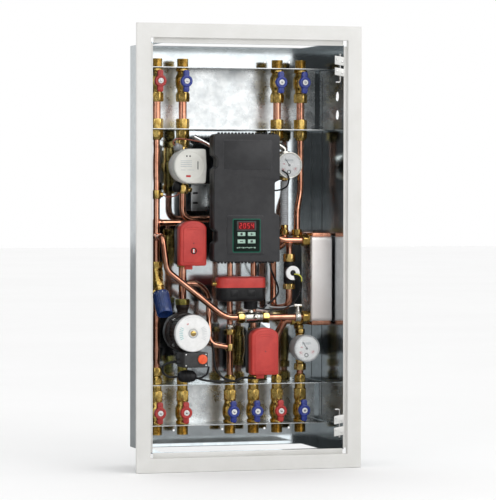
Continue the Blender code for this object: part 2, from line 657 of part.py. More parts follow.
node("heat_exchanger", hx, "nickel")

cold = [(X6, VALVE_Y, TOP_END), (X6, VALVE_Y, 0.150), (P6X, PORT_B, 0.100),
        (P6X, PORT_B, PORT_T + 0.030 + GAP)]
p6 = pipe(cold, bend=0.02)
node("cold_pipe", p6, "copper")
SNX = 0.1475
ret = branched(
    [[(X1, VALVE_Y, HM_LOW - GAP), (X1, VALVE_Y, 0.075), (0.082, VALVE_Y, 0.075), (0.112, FRONT_Y, PORT_T),
      (HX_L - PORT_NUT - GAP, FRONT_Y, PORT_T)],
     [(X3, VALVE_Y, 0.075), (X3, VALVE_Y, -0.2135)],
     [(X4, VALVE_Y, 0.075), (X4, VALVE_Y, -0.2245)],
     [(SNX, FRONT_Y, PORT_T), (SNX, FRONT_Y, -0.0190)]],
    [PIPE_R, PIPE_R - 0.0010, PIPE_R - 0.0010, PIPE_R - 0.0010], 0.030)
node("return_pipe", ret, "copper")
fs = turned([(NUT_R, -0.0193, True), (NUT_R, -0.041, True), (0.0130, -0.043), (0.0130, -0.099),
             (NUT_R, -0.101, True),
             (NUT_R, -0.1165, True), (0.0085, -0.1165), (0.0085, -0.0193)], (SNX, FRONT_Y, 0), closed=True)
head = [(0.0190, 0.010), (0.0190, 0.030), (0.0195, 0.030), (0.0195, 0.038), (0.0, 0.038)]
fs = add(fs, turned(head, (SNX, FRONT_Y, -0.071), (0, -1, 0), 14))
fs = cut(fs, turned([(0.0085, -0.2), (0.0085, 0.2)], (SNX, FRONT_Y, 0), (0, 0, 1), 8))
node("flow_sensor", fs, "black")
M1X, M1Z, M2Z = 0.150, 0.224, -0.279
lp = pipe([(SNX, FRONT_Y, -0.1168), (SNX, FRONT_Y, -0.162), (0.125, -0.052, -0.172),
           (0.125, -0.052, -0.012),
           (M1X, VALVE_Y, 0.008), (M1X, VALVE_Y, 0.0317)], bend=0.028)
node("loop_pipe", lp, "copper")
m1 = turned([(0.0130, 0.262, True), (0.0160, 0.262, True), (0.0160, 0.250, True), (0.0120, 0.248),
             (0.0120, 0.200),
             (0.0160, 0.198, True), (0.0160, 0.183, True), (0.0085, 0.180), (0.0085, 0.060),
             (0.0120, 0.059, True),
             (0.0120, 0.032, True), (0.0065, 0.032), (0.0065, 0.262)], (M1X, VALVE_Y, 0), closed=True)
dial = [(0.0300, 0.004), (0.0330, 0.010), (0.0360, 0.030), (0.0360, 0.048), (0.0340, 0.052), (0.0, 0.052)]
m1 = add(m1, turned(dial, (M1X, VALVE_Y, M1Z), (0, -1, 0), 16))


def swan_neck(z_from, z_to):
    """The short double bend from valve five to the upper meter."""
    return rounded([(X5, VALVE_Y, z_from), (X5, VALVE_Y, 0.283), (M1X, VALVE_Y, 0.270),
                    (M1X, VALVE_Y, z_to)], 0.008)


m1 = add(m1, sweep(swan_neck(TOP_END, 0.2600), 0.0088))
m1 = cut(m1, turned([(0.0065, 0.0), (0.0065, 0.2615)], (M1X, VALVE_Y, 0), sides=8))
m1 = cut(m1, sweep(swan_neck(TOP_END + 0.01, 0.2500), 0.0062))
node("water_meter_upper", m1, "brass")
m2 = turned([(0.0135, -0.2285, True), (0.0135, -0.2400, True), (0.0110, -0.242), (0.0120, -0.250),
             (0.0120, -0.308),
             (0.0165, -0.3235, True), (0.0165, -0.3420, True), (0.0095, -0.343), (0.0095, LOW_END),
             (0.0075, LOW_END),
             (0.0075, -0.2285)], (X6, VALVE_Y, 0), closed=True)
deep_dial = [(0.0300, 0.004), (0.0330, 0.010), (0.0370, 0.030), (0.0370, 0.068), (0.0350, 0.075),
             (0.0, 0.075)]
m2 = add(m2, turned(deep_dial, (X6 - 0.002, VALVE_Y, M2Z), (0, -1, 0), 16))
m2 = cut(m2, turned([(0.0075, -0.36), (0.0075, -0.22)], (X6, VALVE_Y, 0), (0, 0, 1), 8))
node("water_meter_lower", m2, "brass")
hot = pipe([(HX_L - 0.040 - GAP, PORT_B, PORT_L), (0.148, PORT_B, PORT_L), (X5, VALVE_Y, -0.245),
            (X5, VALVE_Y, LOW_END)],
           radius=0.0105, bend=0.012)
node("hot_pipe", hot, "copper")
zr = turned([(0.0165, -0.2248, True), (0.0165, -0.240, True), (0.0140, -0.242), (0.0175, -0.262),
             (0.0175, -0.298),
             (0.0140, -0.318), (0.0165, -0.320, True), (0.0165, -0.335, True), (0.0095, -0.336),
             (0.0095, LOW_END),
             (0.0078, LOW_END), (0.0078, -0.2248)], (X4, VALVE_Y, 0), closed=True)
zr = add(zr, turned([(0.0110, 0.013), (0.0110, 0.0390)], (X4, VALVE_Y, -0.280), (0, -1, 0), 10))
node("zone_valve_right", zr, "brass")
ACT_RIGHT_Z, ACT_RIGHT_H = -0.2835, 0.129
ar = actuator(X4 + 0.002, ACT_RIGHT_Z, ACT_Y, 0.077, ACT_RIGHT_H)
node("actuator_right", ar, "red")

# ---------------- riser three with check valve and mixing pipe
r3 = turned([(0.0120, -0.2138), (0.0120, -0.2270), (0.0165, -0.2276, True), (0.0165, -0.2414, True),
             (PIPE_R, -0.2425), (PIPE_R, LOW_END)], (X3, VALVE_Y, 0))
mix = [(X3, VALVE_Y, -0.277), (X3 - 0.058, VALVE_Y, -0.266), (X3 - 0.058, -0.062, -0.130),
       (X3 - 0.090, VALVE_Y, -0.100),
       (X1 + 0.0110 + GAP, VALVE_Y, -0.100)]
r3 = add(r3, sweep(rounded(mix, 0.022), THIN_R))
r3 = cut(r3, turned([(PIPE_R - 0.0012, -0.40), (PIPE_R - 0.0012, -0.20)], (X3, VALVE_Y, 0), sides=8))
r3 = cut(r3, sweep(rounded(mix, 0.022), THIN_R - PIPE_T))
node("mixing_riser", r3, "copper")

# ---------------------------------------------------------------- controller
shape = [(CTRL_L, CTRL_LOW + 0.006), (CTRL_L + 0.006, CTRL_LOW), (CTRL_R, CTRL_LOW), (CTRL_R, 0.086),
         (CTRL_R - 0.014, 0.093), (CTRL_R - 0.014, 0.176), (CTRL_R, 0.183), (CTRL_R, CTRL_TOP - 0.007),
         (CTRL_R - 0.007, CTRL_TOP), (CTRL_L + 0.007, CTRL_TOP), (CTRL_L, CTRL_TOP - 0.007), (CTRL_L, 0.249),
         (CTRL_L + 0.010, 0.242), (CTRL_L + 0.010, 0.218), (CTRL_L, 0.211), (CTRL_L, 0.051),
         (CTRL_L + 0.010, 0.044),
         (CTRL_L + 0.010, 0.018), (CTRL_L, 0.011)]
cx, cz = (CTRL_L + CTRL_R) / 2, (CTRL_LOW + CTRL_TOP) / 2
inner = [(cx + (x - cx) * 0.86, cz + (z - cz) * 0.955) for x, z in shape]
back = slab(shape, CTRL_SPLIT + GAP, CTRL_BACK)
back = cut(back, slab(inner, CTRL_SPLIT - 0.01, CTRL_BACK - 0.003))
back = add(back, box((CTRL_L - 0.020, -0.052, 0.098), (CTRL_L + 0.028, -0.050, 0.172)))
back = add(back, box((CTRL_L + 0.026, CTRL_BACK - 0.0015, 0.110), (CTRL_L + 0.028, -WALL - GAP, 0.172)))
node("controller_back", back, "black")
cover = slab(shape, CTRL_FRONT, CTRL_SPLIT)
cover = cut(cover, slab(inner, CTRL_FRONT + 0.0025, CTRL_SPLIT + 0.01))
pad = [(-0.055, -0.014), (-0.049, -0.020), (0.044, -0.020), (0.050, -0.014), (0.050, 0.081), (0.044, 0.087),
       (-0.049, 0.087), (-0.055, 0.081)]
cover = add(cover, slab(pad, CTRL_FRONT - 0.0015, CTRL_FRONT + 0.001))
KEYS = [(-0.014, 0.0365), (0.0148, 0.0365), (-0.014, 0.0167), (0.0148, 0.0167)]
for x, z in KEYS:
    cover = cut(cover, box((x - 0.0112, CTRL_FRONT - 0.004, z - 0.0056),
                           (x + 0.0112, CTRL_FRONT + 0.006, z + 0.0056)))
node("controller_cover", cover, "grey")


def key_block(x, z, half_w, half_h, y0, y1):
    return box((x - half_w, CTRL_FRONT + y0, z - half_h), (x + half_w, CTRL_FRONT + y1, z + half_h))


for k, (x, z) in enumerate(KEYS):
    key = key_block(x, z, 0.0108, 0.0052, -0.0025, 0.0015)
    key = add(key, key_block(x, z, 0.0130, 0.0074, 0.0028, 0.0040),
              key_block(x, z, 0.0100, 0.0044, 0.0, 0.0030))
    node("key_%d" % (k + 1), key, "pale", (x, CTRL_FRONT, z))

# ---------------- pump lead, junction and the lead on to the right-hand motor
JX, JY, JZ = -0.147, -0.142, -0.350
lead = [(TB[0] - GAP, -0.143, PUMP_Z - 0.078), (TB[0] - 0.022, -0.143, PUMP_Z - 0.078),
        (-0.215, -0.143, -0.318),
        (-0.217, -0.143, -0.338), (-0.200, -0.143, -0.352), (JX - 0.014, JY, JZ)]
wire = sweep(rounded(lead, 0.012), 0.0032, 6)
knot = [(0.008, -0.026), (0.015, -0.018), (0.0175, 0.0), (0.015, 0.018), (0.008, 0.026)]
wire = add(wire, turned(knot, (JX, JY, JZ), (1, 0, 0), 10))
on = [(JX + 0.014, JY, JZ), (-0.100, -0.143, -0.3620), (-0.060, -0.140, -0.3665), (-0.010, -0.140, -0.3660),
      (0.010, -0.141, -0.356), (X4 - 0.010, -0.150, ACT_RIGHT_Z - ACT_RIGHT_H / 2 - TAB - GAP)]
wire = add(wire, sweep(rounded(on, 0.012), 0.0030, 6))
node("power_lead", wire, "rubber")
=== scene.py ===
import json
import math
import bmesh
import bpy
import numpy as np
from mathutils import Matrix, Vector
from mathutils.geometry import tessellate_polygon

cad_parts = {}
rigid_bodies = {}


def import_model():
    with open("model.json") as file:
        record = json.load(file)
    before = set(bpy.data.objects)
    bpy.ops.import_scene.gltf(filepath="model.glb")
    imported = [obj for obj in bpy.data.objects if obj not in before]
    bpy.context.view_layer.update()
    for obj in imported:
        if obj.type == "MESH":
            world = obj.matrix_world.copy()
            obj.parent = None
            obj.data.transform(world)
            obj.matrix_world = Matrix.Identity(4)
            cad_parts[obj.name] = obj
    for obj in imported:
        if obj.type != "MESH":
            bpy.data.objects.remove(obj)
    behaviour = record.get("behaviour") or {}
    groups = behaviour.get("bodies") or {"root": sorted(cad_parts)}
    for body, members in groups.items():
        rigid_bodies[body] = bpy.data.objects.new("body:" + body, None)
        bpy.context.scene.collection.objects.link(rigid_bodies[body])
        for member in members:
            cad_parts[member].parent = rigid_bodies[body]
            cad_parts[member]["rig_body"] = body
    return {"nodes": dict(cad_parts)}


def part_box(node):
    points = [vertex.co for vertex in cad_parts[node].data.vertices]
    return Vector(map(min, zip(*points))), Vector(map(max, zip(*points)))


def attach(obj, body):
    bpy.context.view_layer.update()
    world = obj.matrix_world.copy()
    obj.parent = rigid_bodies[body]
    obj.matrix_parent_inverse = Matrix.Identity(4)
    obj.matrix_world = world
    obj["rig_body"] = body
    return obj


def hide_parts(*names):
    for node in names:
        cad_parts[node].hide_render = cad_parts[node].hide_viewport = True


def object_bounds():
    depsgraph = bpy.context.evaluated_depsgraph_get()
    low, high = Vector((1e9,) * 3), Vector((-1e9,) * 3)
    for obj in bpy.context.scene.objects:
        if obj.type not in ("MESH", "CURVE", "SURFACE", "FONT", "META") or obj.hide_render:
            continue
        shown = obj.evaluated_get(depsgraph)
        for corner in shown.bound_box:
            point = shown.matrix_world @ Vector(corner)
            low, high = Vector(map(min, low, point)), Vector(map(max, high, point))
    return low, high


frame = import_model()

cadLow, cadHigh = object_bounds()
print("frame loaded, cad box", [round(v, 4) for v in cadHigh - cadLow])


# Lowest and highest corner of a node at rest, as arrays.
def low(node):
    return np.array(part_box(node)[0])


def high(node):
    return np.array(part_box(node)[1])


def middle(node):
    return (low(node) + high(node)) / 2


def unit(vector):
    vector = np.asarray(vector, float)
    return vector / np.linalg.norm(vector)


# Softened path or outline: each corner gives way to the quadratic curve (1-t)^2 s + 2t(1-t) b + t^2 e,
# where s and e lie on its two legs, cut back from the corner b by the bend length.
def softened(points, bend, steps=5, closed=False):
    p = np.asarray(points, float)
    before, here, after = (np.roll(p, 1, 0), p, np.roll(p, -1, 0)) if closed else (p[:-2], p[1:-1], p[2:])
    back, on = before - here, after - here
    backLength = np.linalg.norm(back, axis=1)[:, None]
    onLength = np.linalg.norm(on, axis=1)[:, None]
    cutBack = np.minimum(np.minimum(np.reshape(bend, (-1, 1)), 0.48 * backLength), 0.48 * onLength)
    t = np.linspace(0, 1, steps + 1)[None, :, None]
    start = (here + back / backLength * cutBack)[:, None]
    end = (here + on / onLength * cutBack)[:, None]
    arcs = ((1 - t) ** 2 * start + 2 * t * (1 - t) * here[:, None] + t ** 2 * end).reshape(-1, p.shape[1])
    return arcs if closed else np.vstack([p[:1], arcs, p[-1:]])


# Smooth cord route: a Catmull-Rom curve through given points, each span a cubic in t.
def flowing(points, steps=8):
    p = np.asarray(points, float)
    p = np.vstack([2 * p[0] - p[1], p, 2 * p[-1] - p[-2]])
    a, b, c, d = (q[:, None] for q in (p[:-3], p[1:-2], p[2:-1], p[3:]))
    t = np.linspace(0, 1, steps, endpoint=False)[None, :, None]
    curve = 0.5 * (2 * b + (c - a) * t + (2 * a - 5 * b + 4 * c - d) * t ** 2 + (3 * b - a - 3 * c + d) * t ** 3)
    return np.vstack([curve.reshape(-1, 3), p[-2:-1]])


# A grid of points (rows, columns, xyz) as a closed skin. Columns wrap round; rows either wrap too or end in
# flat caps. Six times the enclosed volume is the sum of a.(b x c) over its triangles: if that is negative,
# every face is turned round, so that all of them point outwards.
def skin(points, ringed=False):
    rows, columns = points.shape[:2]
    index = np.arange(rows * columns).reshape(rows, columns)
    right = np.roll(index, -1, 1)
    nearRow, nearRight, farRight, farRow = index[:-1], right[:-1], right[1:], index[1:]
    if ringed:
        nearRow, nearRight = index, right
        farRow, farRight = np.roll(index, -1, 0), np.roll(right, -1, 0)
    quads = np.stack([nearRow, nearRight, farRight, farRow], -1).reshape(-1, 4)
    flat = points.reshape(-1, 3)
    caps = [] if ringed else [index[0][::-1], index[-1]]
    triangles = [quads[:, [0, 1, 2]], quads[:, [0, 2, 3]]]
    triangles += [np.stack([np.full(columns - 2, cap[0]), cap[1:-1], cap[2:]], -1) for cap in caps]
    a, b, c = (flat[np.vstack(triangles)[:, k]] - flat.mean(0) for k in range(3))
    faces = quads.tolist() + [cap.tolist() for cap in caps]
    if np.einsum("ij,ij->", a, np.cross(b, c)) < 0:
        faces = [face[::-1] for face in faces]
    return flat, faces


# Two directions square to an axis.
def across(axis):
    w = unit(axis)
    u = unit(np.cross((0, 1, 0) if abs(w[1]) < 0.9 else (1, 0, 0), w))
    return u, np.cross(w, u), w


# A profile of (radius, height) points turned about an axis: point = centre + height w + radius (u cos a + v sin a).
# A section function may change the radius with the angle and the height.
def lathe(profile, centre, axis=(0, 0, 1), sides=32, section=None, ringed=False):
    profile = np.asarray(profile, float)
    u, v, w = across(axis)
    angle = np.arange(sides) * 2 * math.pi / sides
    radius, height = profile[:, :1] + 0 * angle, profile[:, 1:2] + 0 * angle
    if section:
        radius = section(radius, height, angle)
    out = np.cos(angle)[:, None] * u + np.sin(angle)[:, None] * v
    points = np.asarray(centre, float) + height[..., None] * w + radius[..., None] * out
    return skin(points, ringed)


# The same with its profile's corners rounded.
def roundLathe(profile, edge, centre, axis=(0, 0, 1), sides=32, steps=3, **more):
    return lathe(softened(profile, edge, steps), centre, axis, sides, **more)


# Six-sided nut: radius = the smaller of the hexagon R cos30 / cos(a mod 60 - 30) and the turned chamfer at that height.
def hexNut(corner, start, end, centre, axis=(0, 0, 1), turn=0.0):
    chamfer = 0.11 * corner
    way = math.copysign(1, end - start)
    rows = [(0.0, start), (0.86, start), (0.93, start + way * 0.35 * chamfer), (1.0, start + way * chamfer),
            (1.0, end - way * chamfer), (0.93, end - way * 0.35 * chamfer), (0.86, end), (0.0, end)]
    def hexagon(radius, height, angle):
        side = np.mod(angle + turn, math.pi / 3) - math.pi / 6
        return np.minimum(radius, corner * math.cos(math.pi / 6) / np.cos(side))
    return lathe([(r * corner, h) for r, h in rows], centre, axis, 48, hexagon)


# Pipe thread: the radius drops by a triangle wave of height / pitch - angle / 360, and the bore closes it as a ring.
def thread(radius, bore, start, end, centre, axis=(0, 0, 1), pitch=0.0018, depth=0.0009):
    h = np.linspace(start, end, max(12, int(abs(end - start) / pitch * 7)))
    fade = np.clip(np.minimum(h - min(start, end), max(start, end) - h) / pitch, 0, 1)
    profile = [(radius, v) for v in h] + [(bore, end), (bore, start)]
    fade = np.append(fade, [0, 0])[:, None]
    def cutIn(r, height, angle):
        wave = np.abs(np.mod(height / pitch - angle / (2 * math.pi), 1) * 2 - 1)
        return r - depth * wave * (r > bore + 0.0005) - depth * (1 - fade) * (1 - wave) * (r > bore + 0.0005)
    return lathe(profile, centre, axis, 40, cutIn, ringed=True)


# A circle carried along a path: it lies square to the path at each station, and its start follows by the least twist.
def tube(path, radius, sides=20, closed=False):
    p = np.asarray(path, float)
    t = np.roll(p, -1, 0) - np.roll(p, 1, 0) if closed else np.gradient(p, axis=0)
    if not closed:
        t[0], t[-1] = p[1] - p[0], p[-1] - p[-2]
    t /= np.linalg.norm(t, axis=1)[:, None]
    side, sideways = across(t[0])[0], []
    for step in t:
        side = unit(side - step * np.dot(side, step))
        sideways.append(side)
    n = np.array(sideways)
    b = np.cross(t, n)
    angle = np.arange(sides) * 2 * math.pi / sides
    r = np.broadcast_to(np.asarray(radius, float), (len(p),))[:, None, None]
    circle = np.cos(angle)[None, :, None] * n[:, None] + np.sin(angle)[None, :, None] * b[:, None]
    return skin(p[:, None] + r * circle, closed)


# An outline drawn in by a distance, each point moving along the mean of its two sides' inward normals.
def drawnIn(outline, distance):
    p = np.asarray(outline, float)
    side = np.roll(p, -1, 0) - p
    normal = np.stack([side[:, 1], -side[:, 0]], -1)
    normal /= np.maximum(np.linalg.norm(normal, axis=1), 1e-12)[:, None]
    area = np.sum(p[:, 0] * np.roll(p[:, 1], -1) - np.roll(p[:, 0], -1) * p[:, 1])
    mean = normal + np.roll(normal, 1, 0)
    mean /= np.maximum((mean ** 2).sum(1) / 2, 0.35)[:, None]
    return p - math.copysign(1, area) * mean * distance


planes = {"xz": (0, 2, 1), "xy": (0, 1, 2), "yz": (1, 2, 0)}


# A flat outline placed in space at a depth along the third axis.
def placed(outline, depth, plane="xz"):
    first, second, third = planes[plane]
    points = np.empty((len(outline), 3))
    points[:, first], points[:, second], points[:, third] = outline[:, 0], outline[:, 1], depth
    return points


# An outline pushed from back to front with a rounded front edge: at the angle q the row is drawn in by
# edge (1 - sin q) and lies edge (1 - cos q) behind the front; the back edge has its own radius.
def plate(outline, back, front, edge=0.001, plane="xz", backEdge=0.0003, steps=3):
    outline = np.asarray(outline, float)
    way = math.copysign(1, front - back)
    q = np.linspace(0, math.pi / 2, steps + 1)
    rows = [(backEdge * (1 - math.sin(a)), back + way * backEdge * (1 - math.cos(a))) for a in q]
    rows += [(edge * (1 - math.sin(a)), front - way * edge * (1 - math.cos(a))) for a in q[::-1]]
    return skin(np.array([placed(drawnIn(outline, inset), depth, plane) for inset, depth in rows]))


# Rectangle with quarter-circle corners, as an outline.
def rectangle(x0, x1, z0, z1, corner=0.001, steps=4):
    return softened([(x0, z0), (x1, z0), (x1, z1), (x0, z1)], corner, steps, closed=True)


# Circle as an outline.
def circle(x, z, radius, sides=32):
    a = np.arange(sides) * 2 * math.pi / sides
    return np.stack([x + radius * np.cos(a), z + radius * np.sin(a)], -1)


# A block with all of its edges rounded.
def block(lowCorner, highCorner, edge=0.0008, steps=2):
    (x0, y0, z0), (x1, y1, z1) = lowCorner, highCorner
    return plate(rectangle(x0, x1, z0, z1, edge * 1.2, 3), y1, y0, edge, backEdge=edge, steps=steps)


# Turns a surface by an angle about an axis through a point.
def turnedBy(surface, angle, axis, centre):
    points, faces = surface
    w, c = unit(axis), np.asarray(centre, float)
    d = points - c
    turned = d * math.cos(angle) + np.cross(w, d) * math.sin(angle) + np.outer(d @ w, w) * (1 - math.cos(angle))
    return turned + c, faces


shown = []


# One object from several surfaces: their points are stacked, doubles at the poles are merged, and it rides on the
# body of the node it belongs to.
def piece(name, surfaces, finish, node, replaced=True, sharp=38):
    points, faces, count = [], [], 0
    for surfacePoints, surfaceFaces in surfaces:
        points.append(surfacePoints)
        faces += [[i + count for i in face] for face in surfaceFaces]
        count += len(surfacePoints)
    mesh = bpy.data.meshes.new(name)
    mesh.from_pydata(np.vstack(points), [], faces)
    made = bmesh.new()
    made.from_mesh(mesh)
    bmesh.ops.remove_doubles(made, verts=made.verts, dist=1e-6)
    bmesh.ops.dissolve_degenerate(made, edges=made.edges, dist=1e-7)
    made.to_mesh(mesh)
    made.free()
    mesh.shade_smooth()
    mesh.set_sharp_from_angle(angle=math.radians(sharp))
    mesh.materials.append(finish)
    thing = bpy.data.objects.new(name, mesh)
    bpy.context.scene.collection.objects.link(thing)
    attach(thing, frame["nodes"][node]["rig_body"])
    if replaced:
        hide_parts(node)
    shown.append(thing)
    return thing


# A node group with named sockets; wiring fills it between its input and output nodes.
def shaderGroup(name, inputs, outputs, wiring):
    group = bpy.data.node_groups.new(name, "ShaderNodeTree")
    for label, kind, value in inputs:
        socket = group.interface.new_socket(label, in_out="INPUT", socket_type=kind)
        socket.default_value = value
    for label, kind in outputs:
        group.interface.new_socket(label, in_out="OUTPUT", socket_type=kind)
    wiring(group, group.nodes.new("NodeGroupInput").outputs, group.nodes.new("NodeGroupOutput").inputs)
    return group


# A node with its values set and its inputs linked or filled: an input given as a socket is linked, else filled.
def make(tree, kind, settings=None, **inputs):
    thing = tree.nodes.new(kind)
    for key, value in (settings or {}).items():
        setattr(thing, key, value)
    for key, value in inputs.items():
        key = key.replace("_", " ")
        socket = thing.inputs[int(key[2:])] if key.startswith("in") and key[2:].isdigit() else thing.inputs[key]
        if isinstance(value, bpy.types.NodeSocket):
            tree.links.new(value, socket)
        else:
            socket.default_value = value
    return thing


def objectPlace(tree):
    return tree.nodes.new("ShaderNodeTexCoord").outputs["Object"]


# Cloud: fractal noise at a scale, stretched between two values.
def wireCloud(tree, given, result):
    place = make(tree, "ShaderNodeMapping", Vector=objectPlace(tree), Scale=given["Stretch"])
    noise = make(tree, "ShaderNodeTexNoise", Vector=place.outputs[0], Scale=given["Scale"], Detail=given["Detail"],
                 Roughness=0.62)
    spread = make(tree, "ShaderNodeMapRange", {"interpolation_type": "SMOOTHSTEP"}, Value=noise.outputs["Fac"],
                  From_Min=0.32, From_Max=0.68, To_Min=given["Low"], To_Max=given["High"])
    tree.links.new(spread.outputs[0], result["Value"])


cloud = shaderGroup(
    "cloud",
    [("Scale", "NodeSocketFloat", 8.0), ("Detail", "NodeSocketFloat", 4.0), ("Low", "NodeSocketFloat", 0.0),
     ("High", "NodeSocketFloat", 1.0), ("Stretch", "NodeSocketVector", (1, 1, 1))],
    [("Value", "NodeSocketFloat")], wireCloud)


# Scratches: noise stretched along one direction, kept only where it is high, broken up by a second noise.
def wireScratches(tree, given, result):
    place = make(tree, "ShaderNodeMapping", Vector=objectPlace(tree), Scale=given["Stretch"])
    lines = make(tree, "ShaderNodeTexNoise", Vector=place.outputs[0], Scale=given["Scale"], Detail=2.0)
    patches = make(tree, "ShaderNodeTexNoise", Vector=objectPlace(tree), Scale=9.0, Detail=2.0)
    kept = make(tree, "ShaderNodeMapRange", Value=lines.outputs["Fac"], From_Min=0.58, From_Max=0.70)
    shown = make(tree, "ShaderNodeMapRange", Value=patches.outputs["Fac"], From_Min=0.42, From_Max=0.62)
    both = make(tree, "ShaderNodeMath", {"operation": "MULTIPLY"}, in0=kept.outputs[0], in1=shown.outputs[0])
    tree.links.new(both.outputs[0], result["Mask"])


scratches = shaderGroup(
    "scratches", [("Scale", "NodeSocketFloat", 60.0), ("Stretch", "NodeSocketVector", (1, 1, 8))],
    [("Mask", "NodeSocketFloat")], wireScratches)


# Dust: more where a face looks up, times a soft noise.
def wireDust(tree, given, result):
    normal = make(tree, "ShaderNodeSeparateXYZ", Vector=tree.nodes.new("ShaderNodeNewGeometry").outputs["Normal"])
    upward = make(tree, "ShaderNodeMapRange", Value=normal.outputs["Z"], From_Min=0.2, From_Max=1.0)
    noise = make(tree, "ShaderNodeTexNoise", Vector=objectPlace(tree), Scale=34.0, Detail=5.0)
    soft = make(tree, "ShaderNodeMapRange", Value=noise.outputs["Fac"], From_Min=0.3, From_Max=0.7)
    both = make(tree, "ShaderNodeMath", {"operation": "MULTIPLY"}, in0=upward.outputs[0], in1=soft.outputs[0])
    level = make(tree, "ShaderNodeMath", {"operation": "MULTIPLY"}, in0=both.outputs[0], in1=given["Amount"])
    tree.links.new(level.outputs[0], result["Mask"])


dust = shaderGroup("dust", [("Amount", "NodeSocketFloat", 0.3)], [("Mask", "NodeSocketFloat")], wireDust)


# Skin bump: fine noise plus a coarser one, as a normal.
def wireBump(tree, given, result):
    fine = make(tree, "ShaderNodeTexNoise", Vector=objectPlace(tree), Scale=given["Scale"], Detail=3.0)
    coarse = make(tree, "ShaderNodeTexNoise", Vector=objectPlace(tree), Scale=24.0, Detail=2.0)
    both = make(tree, "ShaderNodeMath", {"operation": "MULTIPLY_ADD"}, in0=coarse.outputs["Fac"],
                in1=given["Dents"], in2=fine.outputs["Fac"])
    bump = make(tree, "ShaderNodeBump", Height=both.outputs[0], Strength=given["Strength"], Distance=0.0004)
    tree.links.new(bump.outputs[0], result["Normal"])


skinBump = shaderGroup(
    "skinBump", [("Scale", "NodeSocketFloat", 900.0), ("Strength", "NodeSocketFloat", 0.2),
                 ("Dents", "NodeSocketFloat", 1.0)], [("Normal", "NodeSocketVector")], wireBump)

